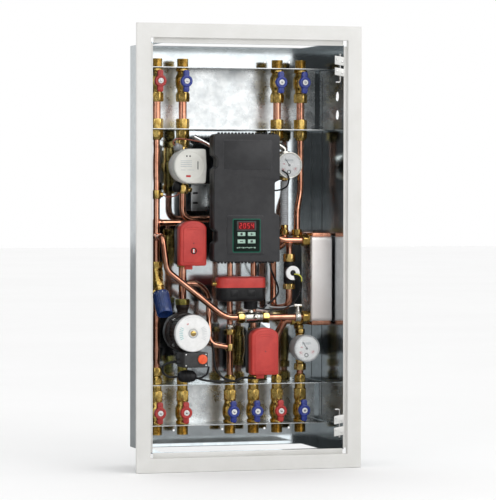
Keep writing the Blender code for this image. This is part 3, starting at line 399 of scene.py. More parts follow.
# Each finish: two colours that a cloud mixes, metal, roughness from and to, cloud scale, bump scale and strength,
# dust, coat, and how strongly scratches lighten it.
finishes = dict(
    zinc=dict(base=(0.56, 0.61, 0.635), other=(0.65, 0.70, 0.72), metal=1.0, rough=(0.06, 0.13), scale=7.0,
              bump=(260.0, 0.02), dents=4.0, dust=0.03, scratch=0.06),
    railZinc=dict(base=(0.60, 0.63, 0.64), other=(0.78, 0.80, 0.80), metal=1.0, rough=(0.22, 0.36), scale=30.0,
                  bump=(500.0, 0.08), dust=0.05, scratch=0.12),
    powderWhite=dict(base=(0.685, 0.68, 0.655), other=(0.725, 0.72, 0.70), metal=0.0, rough=(0.38, 0.46), scale=12.0,
                     bump=(1500.0, 0.10), dust=0.03, coat=0.15),
    bracketWhite=dict(base=(0.66, 0.66, 0.64), other=(0.78, 0.78, 0.76), metal=0.25, rough=(0.35, 0.5), scale=50.0,
                      bump=(1200.0, 0.1), dust=0.05, scratch=0.1),
    castBrass=dict(base=(0.46, 0.295, 0.070), other=(0.74, 0.52, 0.17), metal=1.0, rough=(0.14, 0.28), scale=85.0,
                   bump=(1900.0, 0.30), dust=0.04, scratch=0.10),
    brightBrass=dict(base=(0.60, 0.40, 0.11), other=(0.83, 0.60, 0.23), metal=1.0, rough=(0.08, 0.20), scale=60.0,
                     bump=(900.0, 0.06), dust=0.03, scratch=0.15),
    oliveBrass=dict(base=(0.32, 0.28, 0.07), other=(0.46, 0.40, 0.13), metal=1.0, rough=(0.22, 0.36), scale=60.0,
                    bump=(1200.0, 0.15), dust=0.04, scratch=0.1),
    copper=dict(base=(0.66, 0.29, 0.18), other=(0.80, 0.41, 0.28), metal=1.0, rough=(0.10, 0.22), scale=22.0,
                bump=(420.0, 0.06), dents=1.5, dust=0.03, scratch=0.15, stain=(0.34, 0.13, 0.08)),
    nickel=dict(base=(0.66, 0.64, 0.58), other=(0.84, 0.82, 0.76), metal=1.0, rough=(0.15, 0.30), scale=50.0,
                bump=(1100.0, 0.12), dust=0.03, scratch=0.1),
    steel=dict(base=(0.62, 0.62, 0.61), other=(0.80, 0.80, 0.79), metal=1.0, rough=(0.18, 0.32), scale=60.0,
               bump=(900.0, 0.06), dust=0.03, scratch=0.15),
    redCase=dict(base=(0.46, 0.030, 0.024), other=(0.55, 0.045, 0.034), metal=0.0, rough=(0.34, 0.46), scale=30.0,
                 bump=(1800.0, 0.12), dust=0.05, coat=0.1),
    redGrip=dict(base=(0.42, 0.022, 0.020), other=(0.54, 0.040, 0.032), metal=0.0, rough=(0.28, 0.42), scale=90.0,
                 bump=(2000.0, 0.15), dust=0.04, coat=0.3),
    blueGrip=dict(base=(0.010, 0.026, 0.22), other=(0.022, 0.046, 0.31), metal=0.0, rough=(0.25, 0.38), scale=90.0,
                  bump=(2000.0, 0.12), dust=0.03, coat=0.4),
    capNavy=dict(base=(0.006, 0.028, 0.125), other=(0.012, 0.044, 0.185), metal=0.0, rough=(0.25, 0.38), scale=90.0,
                 bump=(2000.0, 0.12), dust=0.03, coat=0.3),
    orangeKnob=dict(base=(0.80, 0.085, 0.020), other=(0.90, 0.13, 0.035), metal=0.0, rough=(0.32, 0.42), scale=80.0,
                    bump=(1500.0, 0.08), dust=0.02, coat=0.2),
    blackCase=dict(base=(0.006, 0.006, 0.007), other=(0.013, 0.013, 0.014), metal=0.0, rough=(0.32, 0.50), scale=40.0,
                   bump=(1700.0, 0.15), dust=0.02, shine=0.28),
    greyCase=dict(base=(0.026, 0.026, 0.028), other=(0.036, 0.036, 0.038), metal=0.0, rough=(0.40, 0.52), scale=26.0,
                  bump=(2400.0, 0.25), dust=0.02, shine=0.32),
    boxGrey=dict(base=(0.040, 0.040, 0.040), other=(0.060, 0.060, 0.060), metal=0.0, rough=(0.40, 0.55), scale=60.0,
                 bump=(2000.0, 0.2), dust=0.03, shine=0.3),
    castIron=dict(base=(0.010, 0.007, 0.006), other=(0.040, 0.027, 0.022), metal=0.25, rough=(0.30, 0.48), scale=70.0,
                  bump=(800.0, 0.45), dust=0.05),
    paleCase=dict(base=(0.72, 0.715, 0.66), other=(0.80, 0.795, 0.745), metal=0.0, rough=(0.36, 0.48), scale=30.0,
                  bump=(1800.0, 0.06), dust=0.03, coat=0.1),
    labelWhite=dict(base=(0.80, 0.80, 0.79), other=(0.88, 0.88, 0.87), metal=0.0, rough=(0.30, 0.42), scale=60.0,
                    bump=(1500.0, 0.03), dust=0.02, coat=0.3),
    # Dark ink: print and dark joints, and also painted shade in screw and plug slots, holes, grooves, dimples, bracket
    # slots and the wall's shadow line.
    inkDark=dict(base=(0.02, 0.02, 0.022), other=(0.05, 0.05, 0.055), metal=0.0, rough=(0.5, 0.6), scale=120.0,
                 bump=(2000.0, 0.02), dust=0.0),
    inkGrey=dict(base=(0.42, 0.45, 0.46), other=(0.52, 0.55, 0.56), metal=0.0, rough=(0.5, 0.6), scale=120.0,
                 bump=(2000.0, 0.02), dust=0.0),
    inkRed=dict(base=(0.46, 0.012, 0.014), other=(0.58, 0.030, 0.028), metal=0.0, rough=(0.45, 0.55), scale=120.0,
                bump=(2000.0, 0.02), dust=0.0),
    inkTeal=dict(base=(0.22, 0.50, 0.50), other=(0.34, 0.60, 0.60), metal=0.0, rough=(0.45, 0.55), scale=120.0,
                 bump=(2000.0, 0.02), dust=0.0),
    panelGreen=dict(base=(0.001, 0.006, 0.004), other=(0.003, 0.012, 0.008), metal=0.0, rough=(0.35, 0.45), scale=60.0,
                    bump=(1500.0, 0.03), dust=0.0, shine=0.15),
    displayRed=dict(base=(0.10, 0.003, 0.004), other=(0.15, 0.006, 0.008), metal=0.0, rough=(0.3, 0.4), scale=200.0,
                    bump=(1500.0, 0.02), dust=0.0, shine=0.2),
    panelEdge=dict(base=(0.008, 0.085, 0.055), other=(0.014, 0.120, 0.080), metal=0.0, rough=(0.3, 0.4), scale=60.0,
                   bump=(1500.0, 0.03), dust=0.0, shine=0.2),
    keyPale=dict(base=(0.30, 0.47, 0.38), other=(0.40, 0.56, 0.47), metal=0.0, rough=(0.38, 0.5), scale=90.0,
                 bump=(2000.0, 0.05), dust=0.02),
    rubber=dict(base=(0.006, 0.006, 0.007), other=(0.013, 0.013, 0.014), metal=0.0, rough=(0.40, 0.58), scale=60.0,
                bump=(1600.0, 0.18), dust=0.03, shine=0.35),
    plateSteel=dict(base=(0.90, 0.845, 0.815), other=(0.97, 0.93, 0.91), metal=0.85, rough=(0.30, 0.40), scale=9.0,
                    bump=(900.0, 0.03), dust=0.0),
    leadBrown=dict(base=(0.24, 0.055, 0.030), other=(0.33, 0.085, 0.045), metal=0.0, rough=(0.30, 0.42), scale=80.0,
                   bump=(1600.0, 0.1), dust=0.03, coat=0.2),
    leadGrey=dict(base=(0.30, 0.31, 0.32), other=(0.42, 0.43, 0.44), metal=0.0, rough=(0.34, 0.48), scale=80.0,
                  bump=(1600.0, 0.1), dust=0.04),
    earthLead=dict(base=(0.55, 0.55, 0.06), other=(0.65, 0.66, 0.10), metal=0.0, rough=(0.35, 0.45), scale=80.0,
                   bump=(1600.0, 0.08), dust=0.02),
    foamGrey=dict(base=(0.42, 0.44, 0.46), other=(0.55, 0.57, 0.59), metal=0.0, rough=(0.5, 0.65), scale=120.0,
                  bump=(900.0, 0.5), dust=0.06),
)


# A Principled material from one row of the finishes.
def finish(name):
    row = finishes[name]
    material = bpy.data.materials.new(name)
    material.use_nodes = True
    tree = material.node_tree
    shader = tree.nodes["Principled BSDF"]
    tint = make(tree, "ShaderNodeGroup", {"node_tree": cloud}, Scale=row["scale"], Detail=5.0)
    colour = make(tree, "ShaderNodeMix", {"data_type": "RGBA"}, Factor=tint.outputs[0])
    colour.inputs["A"].default_value = (*row["base"], 1)
    colour.inputs["B"].default_value = (*row["other"], 1)
    result = colour.outputs["Result"]
    if "stain" in row:
        patches = make(tree, "ShaderNodeGroup", {"node_tree": cloud}, Scale=row["scale"] * 2.3, Detail=6.0, Low=-0.9,
                       High=0.55)
        stained = make(tree, "ShaderNodeMix", {"data_type": "RGBA"}, Factor=patches.outputs[0])
        tree.links.new(result, stained.inputs["A"])
        stained.inputs["B"].default_value = (*row["stain"], 1)
        result = stained.outputs["Result"]
    if row.get("scratch"):
        lines = make(tree, "ShaderNodeGroup", {"node_tree": scratches}, Scale=row["scale"] * 3)
        level = make(tree, "ShaderNodeMath", {"operation": "MULTIPLY"}, in0=lines.outputs[0], in1=row["scratch"])
        lit = make(tree, "ShaderNodeMix", {"data_type": "RGBA"}, Factor=level.outputs[0])
        tree.links.new(result, lit.inputs["A"])
        lit.inputs["B"].default_value = (*[min(1, c * 1.5 + 0.05) for c in row["other"]], 1)
        result = lit.outputs["Result"]
    if row.get("dust"):
        settled = make(tree, "ShaderNodeGroup", {"node_tree": dust}, Amount=row["dust"])
        dusty = make(tree, "ShaderNodeMix", {"data_type": "RGBA"}, Factor=settled.outputs[0])
        tree.links.new(result, dusty.inputs["A"])
        dusty.inputs["B"].default_value = (0.55, 0.53, 0.50, 1)
        result = dusty.outputs["Result"]
    tree.links.new(result, shader.inputs["Base Color"])
    smear = make(tree, "ShaderNodeGroup", {"node_tree": cloud}, Scale=row["scale"] * 0.6, Detail=6.0,
                 Low=row["rough"][0], High=row["rough"][1])
    tree.links.new(smear.outputs[0], shader.inputs["Roughness"])
    relief = make(tree, "ShaderNodeGroup", {"node_tree": skinBump}, Scale=row["bump"][0], Strength=row["bump"][1],
                  Dents=row.get("dents", 0.6))
    tree.links.new(relief.outputs[0], shader.inputs["Normal"])
    shader.inputs["Metallic"].default_value = row["metal"]
    shader.inputs["Coat Weight"].default_value = row.get("coat", 0.0)
    shader.inputs["Coat Roughness"].default_value = 0.15
    shader.inputs["Specular IOR Level"].default_value = row.get("shine", 0.5)
    return material


look = {name: finish(name) for name in finishes}

# Clear cover of the meters: mostly see-through, with a gloss of its own.
look["clear"] = bpy.data.materials.new("clear")
look["clear"].use_nodes = True
clearTree = look["clear"].node_tree
clearShader = clearTree.nodes["Principled BSDF"]
clearShader.inputs["Base Color"].default_value = (0.80, 0.84, 0.86, 1)
clearShader.inputs["Alpha"].default_value = 0.16
clearShader.inputs["Coat Weight"].default_value = 0.5
clearSmear = make(clearTree, "ShaderNodeGroup", {"node_tree": cloud}, Scale=40.0, Low=0.03, High=0.12)
clearTree.links.new(clearSmear.outputs[0], clearShader.inputs["Roughness"])

# Lit red figures: a red that glows a little, more in the middle of each cloud.
look["glow"] = bpy.data.materials.new("glow")
look["glow"].use_nodes = True
glowTree = look["glow"].node_tree
glowShader = glowTree.nodes["Principled BSDF"]
glowCloud = make(glowTree, "ShaderNodeGroup", {"node_tree": cloud}, Scale=300.0, Low=0.0, High=1.0)
glowMix = make(glowTree, "ShaderNodeMix", {"data_type": "RGBA"}, Factor=glowCloud.outputs[0])
glowMix.inputs["A"].default_value = (0.75, 0.020, 0.030, 1)
glowMix.inputs["B"].default_value = (0.85, 0.045, 0.050, 1)
glowTree.links.new(glowMix.outputs["Result"], glowShader.inputs["Base Color"])
glowTree.links.new(glowMix.outputs["Result"], glowShader.inputs["Emission Color"])
glowShader.inputs["Emission Strength"].default_value = 0.25
glowShader.inputs["Roughness"].default_value = 0.3
print("finishes made:", len(look))


# Galvanised sheet: crystals from a Voronoi pattern change the colour and the roughness a little.
def addSpangle(material, scale, depth):
    tree = material.node_tree
    shader = tree.nodes["Principled BSDF"]
    cells = make(tree, "ShaderNodeTexVoronoi", Vector=objectPlace(tree), Scale=scale)
    tone = make(tree, "ShaderNodeSeparateColor", Color=cells.outputs["Color"])
    level = make(tree, "ShaderNodeMapRange", Value=tone.outputs[0], To_Min=1 - depth, To_Max=1 + depth)
    before = shader.inputs["Base Color"].links[0].from_socket
    scaled = make(tree, "ShaderNodeVectorMath", {"operation": "SCALE"}, in0=before, Scale=level.outputs[0])
    tree.links.new(scaled.outputs[0], shader.inputs["Base Color"])
    roughBefore = shader.inputs["Roughness"].links[0].from_socket
    roughAfter = make(tree, "ShaderNodeMath", {"operation": "MULTIPLY"}, in0=roughBefore, in1=level.outputs[0])
    tree.links.new(roughAfter.outputs[0], shader.inputs["Roughness"])


addSpangle(look["zinc"], 70.0, 0.05)
addSpangle(look["railZinc"], 110.0, 0.08)

# The cabinet and its rails keep their CAD solids, which are folded sheet with flat faces.
for node, finishName in (("cabinet_box", "zinc"), ("upper_rail", "railZinc"), ("lower_rail", "railZinc")):
    solid = frame["nodes"][node]
    solid.data.materials.clear()
    solid.data.materials.append(look[finishName])

# Trim frame: one folded profile of (outwards from the opening, y) carried round a rectangle with mitred corners.
trim = dict(face=0.037, sheet=0.0015, hem=0.012, fold=0.0016, lipAcross=0.010, lipDown=0.0155, cornerGap=0.0016)
trimLow, trimHigh = low("trim_frame"), high("trim_frame")
trimBack = low("cabinet_box")[1] - 0.0003
trimFront = trimLow[1]


def mitred(profile, halfWidth, halfHeight):
    corners = np.array([(1, 1), (-1, 1), (-1, -1), (1, -1)])
    profile = np.asarray(profile, float)
    points = np.empty((4, len(profile), 3))
    points[..., 0] = corners[:, :1] * (halfWidth + profile[:, 0])
    points[..., 1] = profile[:, 1]
    points[..., 2] = corners[:, 1:] * (halfHeight + profile[:, 0])
    return skin(points, ringed=True)


openWide = trimHigh[0] - trim["face"]
openTall = trimHigh[2] - trim["face"]
s, w = trim["sheet"], trim["face"]
trimProfile = softened([(0, trimBack), (-s, trimBack), (-s, trimFront), (w, trimFront), (w, trimFront + trim["hem"]),
                        (w - s, trimFront + trim["hem"]), (w - s, trimFront + s), (0, trimFront + s)],
                       [0.0003, 0.0003, trim["fold"], trim["fold"], 0.0003, 0.0003, 0.0006, 0.0006], 4, closed=True)
trimSurfaces = [mitred(trimProfile, openWide, openTall)]
cut = trim["cornerGap"]
lipX, lipZ = openWide - trim["lipAcross"], openTall - trim["lipDown"]
for side in (1, -1):
    trimSurfaces.append(block((min(side * lipX, side * openWide), trimBack - s, -lipZ + cut),
                              (max(side * lipX, side * openWide), trimBack, lipZ - cut), 0.0004))
    trimSurfaces.append(block((-lipX + cut, trimBack - s, min(side * lipZ, side * openTall)),
                              (lipX - cut, trimBack, max(side * lipZ, side * openTall)), 0.0004))
piece("trimFrame", trimSurfaces, look["powderWhite"], "trim_frame")

# Hinge brackets: two plates with slanted ends on the right-hand lip and small screws; the rolled knuckle and the
# screws' cross heads are not drawn.
hinge = dict(inner=-0.026, outer=0.002, slant=0.0045, screw=0.0026, knuckle=0.0042)
hingeSurfaces, hingeScrews = [], []
pinX = middle("hinge_pin_upper")[0]
for label, flip, ends in (("upper", 1, ((0.493, 0.521), (0.464, 0.489))), ("lower", -1, ((-0.515, -0.487), (-0.482, -0.455)))):
    for z0, z1 in ends:
        lean = hinge["slant"] * flip
        outline = [(lipX + hinge["inner"], z0 + max(lean, 0)), (lipX + hinge["outer"], z0 - min(lean, 0)),
                   (lipX + hinge["outer"], z1 - max(lean, 0)), (lipX + hinge["inner"], z1 + min(lean, 0))]
        outline = softened(outline, 0.0015, 3, closed=True)
        hingeSurfaces.append(plate(outline, trimBack - s, trimBack - s - 0.0018, 0.0005))
        mid = (z0 + z1) / 2
        for x in (lipX - 0.020, lipX - 0.005):
            at = (x, trimBack - s - 0.0018, mid + (0.003 if x < lipX - 0.01 else -0.003))
            hingeScrews.append(roundLathe([(0, 0), (hinge["screw"], 0), (hinge["screw"] * 0.8, 0.0012), (0, 0.0014)],
                                          0.0004, at, (0, -1, 0), 20))
piece("hingePlates", hingeSurfaces, look["bracketWhite"], "trim_frame")
piece("hingeScrews", hingeScrews, look["steel"], "trim_frame")

# Hinge pins: bent wire, drawn along the same route as the CAD pin, with a plain round head in place of the knurled one.
for label, way in (("upper", -1), ("lower", 1)):
    node = "hinge_pin_" + label
    lo, hi = low(node), high(node)
    top, foot = (hi[2], lo[2]) if way < 0 else (lo[2], hi[2])
    x, y, r = hi[0] - 0.0021, hi[1] - 0.0021, 0.0021
    route = [(x, y, top), (x, y, foot - way * r), (lo[0], y, foot - way * r)]
    pin = [tube(softened(route, 0.004, 6), 0.0020, 16)]
    pin.append(roundLathe([(0, 0.0), (0.0030, 0.0), (0.0030, 0.003), (0, 0.003)], 0.0006, (x, y, top), (0, 0, -way), 20))
    piece("hingePin" + label.capitalize(), pin, look["steel"], node)
print("cabinet, trim and hinges made")

# The ten shut-off points share one pattern; heights are counted from the ball towards the threaded end.
valve = dict(thread=0.0158, bore=0.0095, nut=0.0190, chamber=0.0203, neck=0.0150, tail=0.0110, rib=0.0008)


def valvePieces(node, handleNode, up):
    way = 1 if up else -1
    ball = middle(handleNode)
    x, y, z = ball[0], high(node)[1] - 0.0205, ball[2]
    rail = "upper_rail" if up else "lower_rail"
    plateEdge = abs((high(rail)[2] - 0.001 if up else low(rail)[2] + 0.001) - z)
    farEnd = abs((high(node)[2] if up else low(node)[2]) - z)
    otherEnd = abs((low(node)[2] if up else high(node)[2]) - z)
    at, axis = (x, y, z), (0, 0, way)
    v = valve
    brass = [thread(v["thread"], v["bore"], plateEdge - 0.0013, farEnd, at, axis)]
    brass.append(hexNut(v["nut"], plateEdge - 0.011, plateEdge - 0.0013, at, axis))
    chamber = [(v["neck"] * 0.95, 0.0275), (v["neck"], 0.0215), (v["chamber"] * 0.97, 0.0125), (v["chamber"], 0.004),
               (v["chamber"], -0.004), (v["chamber"] * 0.97, -0.0125), (v["neck"], -0.0215), (v["neck"], -0.0300)]
    brass.append(roundLathe([(0, 0.0275)] + chamber + [(0, -0.0300)], 0.004, at, axis, 40, 4))
    brass.append(roundLathe([(0, 0.010), (0.0098, 0.010), (0.0092, 0.0195), (0, 0.0195)], 0.001, at, (0, -1, 0), 28))
    brass.append(hexNut(0.0088, 0.0195, 0.0275, at, (0, -1, 0)))
    nutLong = 0.0555 if up else 0.0590
    brass.append(roundLathe([(0, -0.0285), (0.0166, -0.0285), (0.0172, -0.0325), (0, -0.0325)], 0.0012, at, axis, 36))
    brass.append(hexNut(v["nut"], -0.0315, -nutLong, at, axis, 0.26))
    if up:
        hole = abs(low("upper_rail")[2] + 0.001 - z)
        brass.append(hexNut(v["nut"], -0.1015, -hole + 0.0033, at, axis, 0.1))
        brass.append(roundLathe([(0, -hole + 0.0035), (0.0182, -hole + 0.0035), (0.0182, -hole + 0.0013),
                                 (0, -hole + 0.0013)], 0.0004, at, axis, 36))
        brass.append(lathe([(0, -hole + 0.002), (0.0144, -hole + 0.002), (0.0144, -hole - 0.002), (0, -hole - 0.002)],
                           at, axis, 32))
        brass.append(hexNut(v["nut"], -hole - 0.0013, -otherEnd + 0.0060, at, axis, 0.35))
        brass.append(roundLathe([(0, -otherEnd + 0.0065), (0.0150, -otherEnd + 0.0065), (0.0125, -otherEnd),
                                 (0, -otherEnd)], 0.0012, at, axis, 32))
        tail = [(0, -nutLong + 0.003), (v["tail"], -nutLong + 0.003), (v["tail"], -0.1045), (0, -0.1045)]
        piece(node + "_tail", [lathe(tail, at, axis, 32)], look["copper"], node, replaced=False)
    else:
        hole = abs(high("lower_rail")[2] - 0.001 - z)
        brass.append(roundLathe([(0, -nutLong + 0.001), (0.0144, -nutLong + 0.001), (0.0144, -hole - 0.004),
                                 (0, -hole - 0.004)], 0.0008, at, axis, 32))
        brass.append(hexNut(0.0175, -hole - 0.0013, -otherEnd + 0.0045, at, axis, 0.2))
        brass.append(roundLathe([(0, -otherEnd + 0.005), (0.0140, -otherEnd + 0.005), (0.0118, -otherEnd),
                                 (0, -otherEnd)], 0.0010, at, axis, 32))
    piece(node + "_body", brass, look["castBrass"], node)


# Butterfly handle: hub and wings in one grip, a white collar round the screw, the stem, and the bored ball inside.
grip = dict(hub=0.0163, hubBack=0.0312, hubFront=0.0462, wingBack=0.0300, wingFront=0.0432, reach=0.0300, stem=0.0037,
            collar=0.0076, ball=0.0136, bore=0.0088)


def handlePieces(node, colour):
    at = middle(node)
    at[1] = high(node)[1] - 0.0138
    g = grip
    half = [(0.0120, 0.0075), (0.0070, 0.0160), (0.0082, 0.0215), (0.0072, 0.0278), (0.0040, g["reach"])]
    outline = half + [(-x, z) for x, z in half[::-1]] + [(-x, -z) for x, z in half] + [(x, -z) for x, z in half[::-1]]
    outline = softened(outline, 0.0030, 4, closed=True) + at[[0, 2]]
    wings = plate(outline, at[1] - g["wingBack"], at[1] - g["wingFront"], 0.0018, backEdge=0.0012, steps=3)
    hub = roundLathe([(0, g["hubBack"]), (g["hub"] * 0.93, g["hubBack"]), (g["hub"], g["hubBack"] + 0.003),
                      (g["hub"], g["hubFront"] - 0.002), (g["hub"] * 0.90, g["hubFront"]), (g["collar"] + 0.0024, g["hubFront"]),
                      (g["collar"] + 0.0018, g["hubFront"] - 0.0018), (0, g["hubFront"] - 0.0018)],
                     0.0009, at, (0, -1, 0), 40)
    ribs = [block((at[0] - 0.0006, at[1] - g["wingFront"] - 0.0006, at[2] + sign * 0.0240 - 0.0042),
                  (at[0] + 0.0006, at[1] - g["wingFront"] + 0.0008, at[2] + sign * 0.0240 + 0.0030), 0.0004)
            for sign in (1, -1)]
    piece(node + "_grip", [wings, hub] + ribs, look[colour], node, replaced=False)
    collar = roundLathe([(0, g["hubFront"] - 0.002), (g["collar"], g["hubFront"] - 0.002),
                         (g["collar"], g["hubFront"] + 0.0008), (0.0046, g["hubFront"] + 0.0012),
                         (0.0042, g["hubFront"] + 0.0002), (0, g["hubFront"] + 0.0002)], 0.0005, at, (0, -1, 0), 32)
    piece(node + "_collar", [collar], look["labelWhite"], node, replaced=False)
    screw = roundLathe([(0, g["hubFront"] - 0.001), (0.0034, g["hubFront"] - 0.001), (0.0034, g["hubFront"] + 0.0009),
                        (0.0026, g["hubFront"] + 0.0016), (0, g["hubFront"] + 0.0017)], 0.0004, at, (0, -1, 0), 24)
    # The screw's cross recess is two dark bars standing just proud of the head: painted shade in the recess.
    slots = [turnedBy(block((at[0] - 0.0022, at[1] - g["hubFront"] - 0.00178, at[2] - 0.0004),
                            (at[0] + 0.0022, at[1] - g["hubFront"] - 0.0014, at[2] + 0.0004), 0.0001),
                      0.6 + quarter, (0, 1, 0), at) for quarter in (0, math.pi / 2)]
    piece(node + "_screw", [screw], look["steel"], node, replaced=False)
    piece(node + "_screwCrossShade", slots, look["inkDark"], node, replaced=False)
    angle = np.linspace(-0.5 * math.pi, 0.5 * math.pi, 15)
    bowl = [(g["ball"] * math.cos(a), g["ball"] * math.sin(a)) for a in angle[1:-1] if g["ball"] * math.cos(a) > g["bore"]]
    ball = lathe([(g["bore"], bowl[0][1])] + bowl + [(g["bore"], bowl[-1][1])], at, (0, 0, 1), 32, ringed=True)
    stem = roundLathe([(0, 0.0110), (g["stem"], 0.0110), (g["stem"], g["hubBack"] + 0.002), (0, g["hubBack"] + 0.002)],
                      0.0005, at, (0, -1, 0), 20)
    piece(node + "_ball", [ball, stem], look["nickel"], node)


topColours = {0: "redGrip", 1: "blueGrip", 5: "blueGrip", 6: "blueGrip"}
lowColours = {0: "redGrip", 1: "redGrip", 3: "blueGrip", 4: "blueGrip", 5: "redGrip", 6: "blueGrip"}
for row, colours, up in (("top", topColours, True), ("low", lowColours, False)):
    for place, colour in colours.items():
        valvePieces(f"valve_{row}_{place}", f"handle_{row}_{place}", up)
        handlePieces(f"handle_{row}_{place}", colour)
print("shut-off valves made")

# Places of the six risers and the planes that the pipes run in.
riser = {place: middle(f"handle_low_{place}")[0] for place in lowColours}
valveY = high("valve_low_0")[1] - 0.0205
frontY = middle("middle_coupling")[1]
topEnd = low("valve_top_0")[2]
lowEnd = high("valve_low_0")[2]
exchangerLeft = high("heat_exchanger")[0] - 0.060
middleZ = (low("middle_coupling")[2] + high("middle_coupling")[2] - 0.028) / 2
pipeRadius = 0.0090


# Copper pipe from its corner points, with the pulled-out collars where branches leave it.
def pipes(node, name, runs, collars=()):
    surfaces = [tube(softened(points, bend, 9), radius, 28) for points, radius, bend in runs]
    for at, axis, radius in collars:
        surfaces.append(roundLathe([(0, 0), (radius + 0.0030, 0), (radius + 0.0008, 0.0085), (radius + 0.0006, 0.0110),
                                    (0, 0.0110)], 0.0012, at, axis, 28))
    return piece(name, surfaces, look["copper"], node)


x0, x1, x3, x4, x5, x6 = (riser[i] for i in (0, 1, 3, 4, 5, 6))
pipes("supply_pipe", "supplyPipe", [
    ([(x0, valveY, topEnd), (x0, valveY, -0.0397)], pipeRadius, 0.02),
    ([(x0, valveY, 0.066), (x1, valveY, 0.066), (x1, valveY, high("zone_valve_left")[2] + 0.0003)], 0.0082, 0.024),
    ([(x0, valveY, 0.0275), (x0 + 0.003, frontY, 0.030), (-0.199, frontY, -0.063), (-0.178, frontY, -0.080),
      (-0.045, frontY, -0.184), (-0.024, frontY, middleZ), (low("middle_valve")[0], frontY, middleZ)], 0.0085, 0.024)],
    [((x0 + 0.0065, valveY, 0.066), (1, 0, 0), 0.0082), ((x0, valveY - 0.0065, 0.0275), (0, -1, 0), 0.0085)])
pipes("return_pipe", "returnPipe", [
    ([(x1, valveY, low("heat_meter_body")[2]), (x1, valveY, 0.075), (0.082, valveY, 0.075), (0.112, frontY, 0.0177),
      (low("heat_exchanger")[0] + 0.0200, frontY, 0.0177)], pipeRadius, 0.030),
    ([(x3, valveY, 0.075), (x3, valveY, -0.2135)], 0.0081, 0.03),
    ([(x4, valveY, 0.075), (x4, valveY, high("zone_valve_right")[2] + 0.0003)], 0.0081, 0.03),
    ([(0.1475, frontY, 0.0177), (0.1475, frontY, high("flow_sensor")[2] + 0.0002)], 0.0081, 0.03)],
    [((x3, valveY, 0.0685), (0, 0, -1), 0.0081), ((x4, valveY, 0.0685), (0, 0, -1), 0.0081),
     ((0.1475, frontY, 0.0112), (0, 0, -1), 0.0081)])
pipes("cold_pipe", "coldPipe", [([(x6, valveY, topEnd), (x6, valveY, 0.150), (exchangerLeft - 0.022, -0.087, 0.100),
                                  (exchangerLeft - 0.022, -0.087, 0.048)], pipeRadius, 0.02)])
pipes("loop_pipe", "loopPipe", [([(0.1475, frontY, -0.1168), (0.1475, frontY, -0.162), (0.125, -0.052, -0.172),
                                  (0.125, -0.052, -0.012), (0.150, valveY, 0.008), (0.150, valveY, 0.0317)],
                                 pipeRadius, 0.028)])
pipes("hot_pipe", "hotPipe", [([(exchangerLeft - 0.0403, -0.087, -0.2035), (0.148, -0.087, -0.2035),
                                (x5, valveY, -0.245), (x5, valveY, lowEnd)], 0.0105, 0.014)])
print("pipes made")

# Left riser: sensor pocket, pressure regulator with its blue cap, and the pipe below it.
regulator = dict(lean=(0.06, -0.51, -0.86), ribs=24, capFrom=0.068, capTo=0.134)
regLow, regHigh = low("regulator_body"), high("regulator_body")
at = (x0, valveY, 0)
brass = [hexNut(0.0175, regHigh[2] - 0.018, regHigh[2], at, turn=0.2)]
brass.append(roundLathe([(0, -0.052), (0.0150, -0.055), (0.0185, -0.068), (0.0185, -0.092), (0.0150, -0.108),
                         (0.0140, -0.118), (0, -0.118)], 0.006, at, sides=40))
brass.append(hexNut(0.0165, -0.136, -0.117, at, turn=0.4))
brass.append(hexNut(0.0175, lowEnd + 0.0003, -0.329, at, turn=0.1))
regAt = np.array([x0 - 0.003, valveY - 0.003, -0.066])
regWay = unit(regulator["lean"])
brass.append(roundLathe([(0, 0.004), (0.0150, 0.004), (0.0150, 0.034), (0.0125, 0.042), (0.0125, 0.070), (0, 0.070)],
                        0.002, regAt, regWay, 36))
brass.append(hexNut(0.0165, 0.036, 0.050, regAt, regWay))
brass.append(roundLathe([(0, 0.100), (0.0120, 0.100), (0.0120, 0.1100), (0, 0.1115)], 0.001, regAt, regWay, 32))
brass.append(roundLathe([(0, 0.1105), (0.0050, 0.1105), (0.0050, 0.1150), (0, 0.1150)], 0.0008, regAt, regWay, 24))
piece("regulatorBrass", brass, look["castBrass"], "regulator_body")
piece("lowerRiser", [lathe([(0, -0.134), (pipeRadius, -0.134), (pipeRadius, -0.331), (0, -0.331)], at, sides=28)],
      look["copper"], "regulator_body")
pocketAt = (x0, valveY, 0.143)
piece("riserPocket", [roundLathe([(0, -0.004), (0.0085, -0.004), (0.0085, 0.010), (0, 0.010)], 0.001, pocketAt, (1, 0, 0), 24),
                      hexNut(0.0080, 0.010, 0.017, pocketAt, (1, 0, 0)),
                      roundLathe([(0, -0.012), (0.0118, -0.012), (0.0118, 0.012), (0, 0.012)], 0.002, pocketAt)],
      look["castBrass"], "supply_pipe")


# Ribbed grip: the radius swells by a rounded wave round the cap, only along its middle.
def ribbed(count, height):
    def swell(radius, along, angle):
        wave = np.abs(np.sin(angle * count / 2)) ** 0.7
        inner = (along > regulator["capFrom"] + 0.008) & (along < regulator["capTo"] - 0.010) & (radius > 0.0190)
        return radius + inner * height * (wave - 0.6)
    return swell


capRows = [(0.0213, 0.068), (0.0226, 0.0715), (0.0229, 0.0770)] + [(0.0226 - 0.0006 * k / 8, 0.0775 + k * 0.0056) for k in range(9)]
capRows += [(0.0221, 0.1245), (0.0216, 0.1310), (0.0200, 0.1338), (0.0178, 0.1335), (0.0171, 0.1300), (0.0170, 0.1150),
            (0.0138, 0.1143), (0.0138, 0.0700)]
piece("regulatorCap", [lathe(capRows, regAt, regWay, 144, ribbed(regulator["ribs"], 0.0007), ringed=True)],
      look["capNavy"], "regulator_cap")
u, v, w = across(regWay)
capMarks = []
for k in range(12):
    a = 2 * math.pi * k / 12
    out = math.cos(a) * u + math.sin(a) * v
    base = regAt + w * 0.0722 + out * 0.0227
    capMarks.append(tube([base, base + w * (0.0042 if k % 3 == 0 else 0.0026)], 0.00045, 6))
piece("capMarks", capMarks, look["labelWhite"], "regulator_cap", replaced=False)

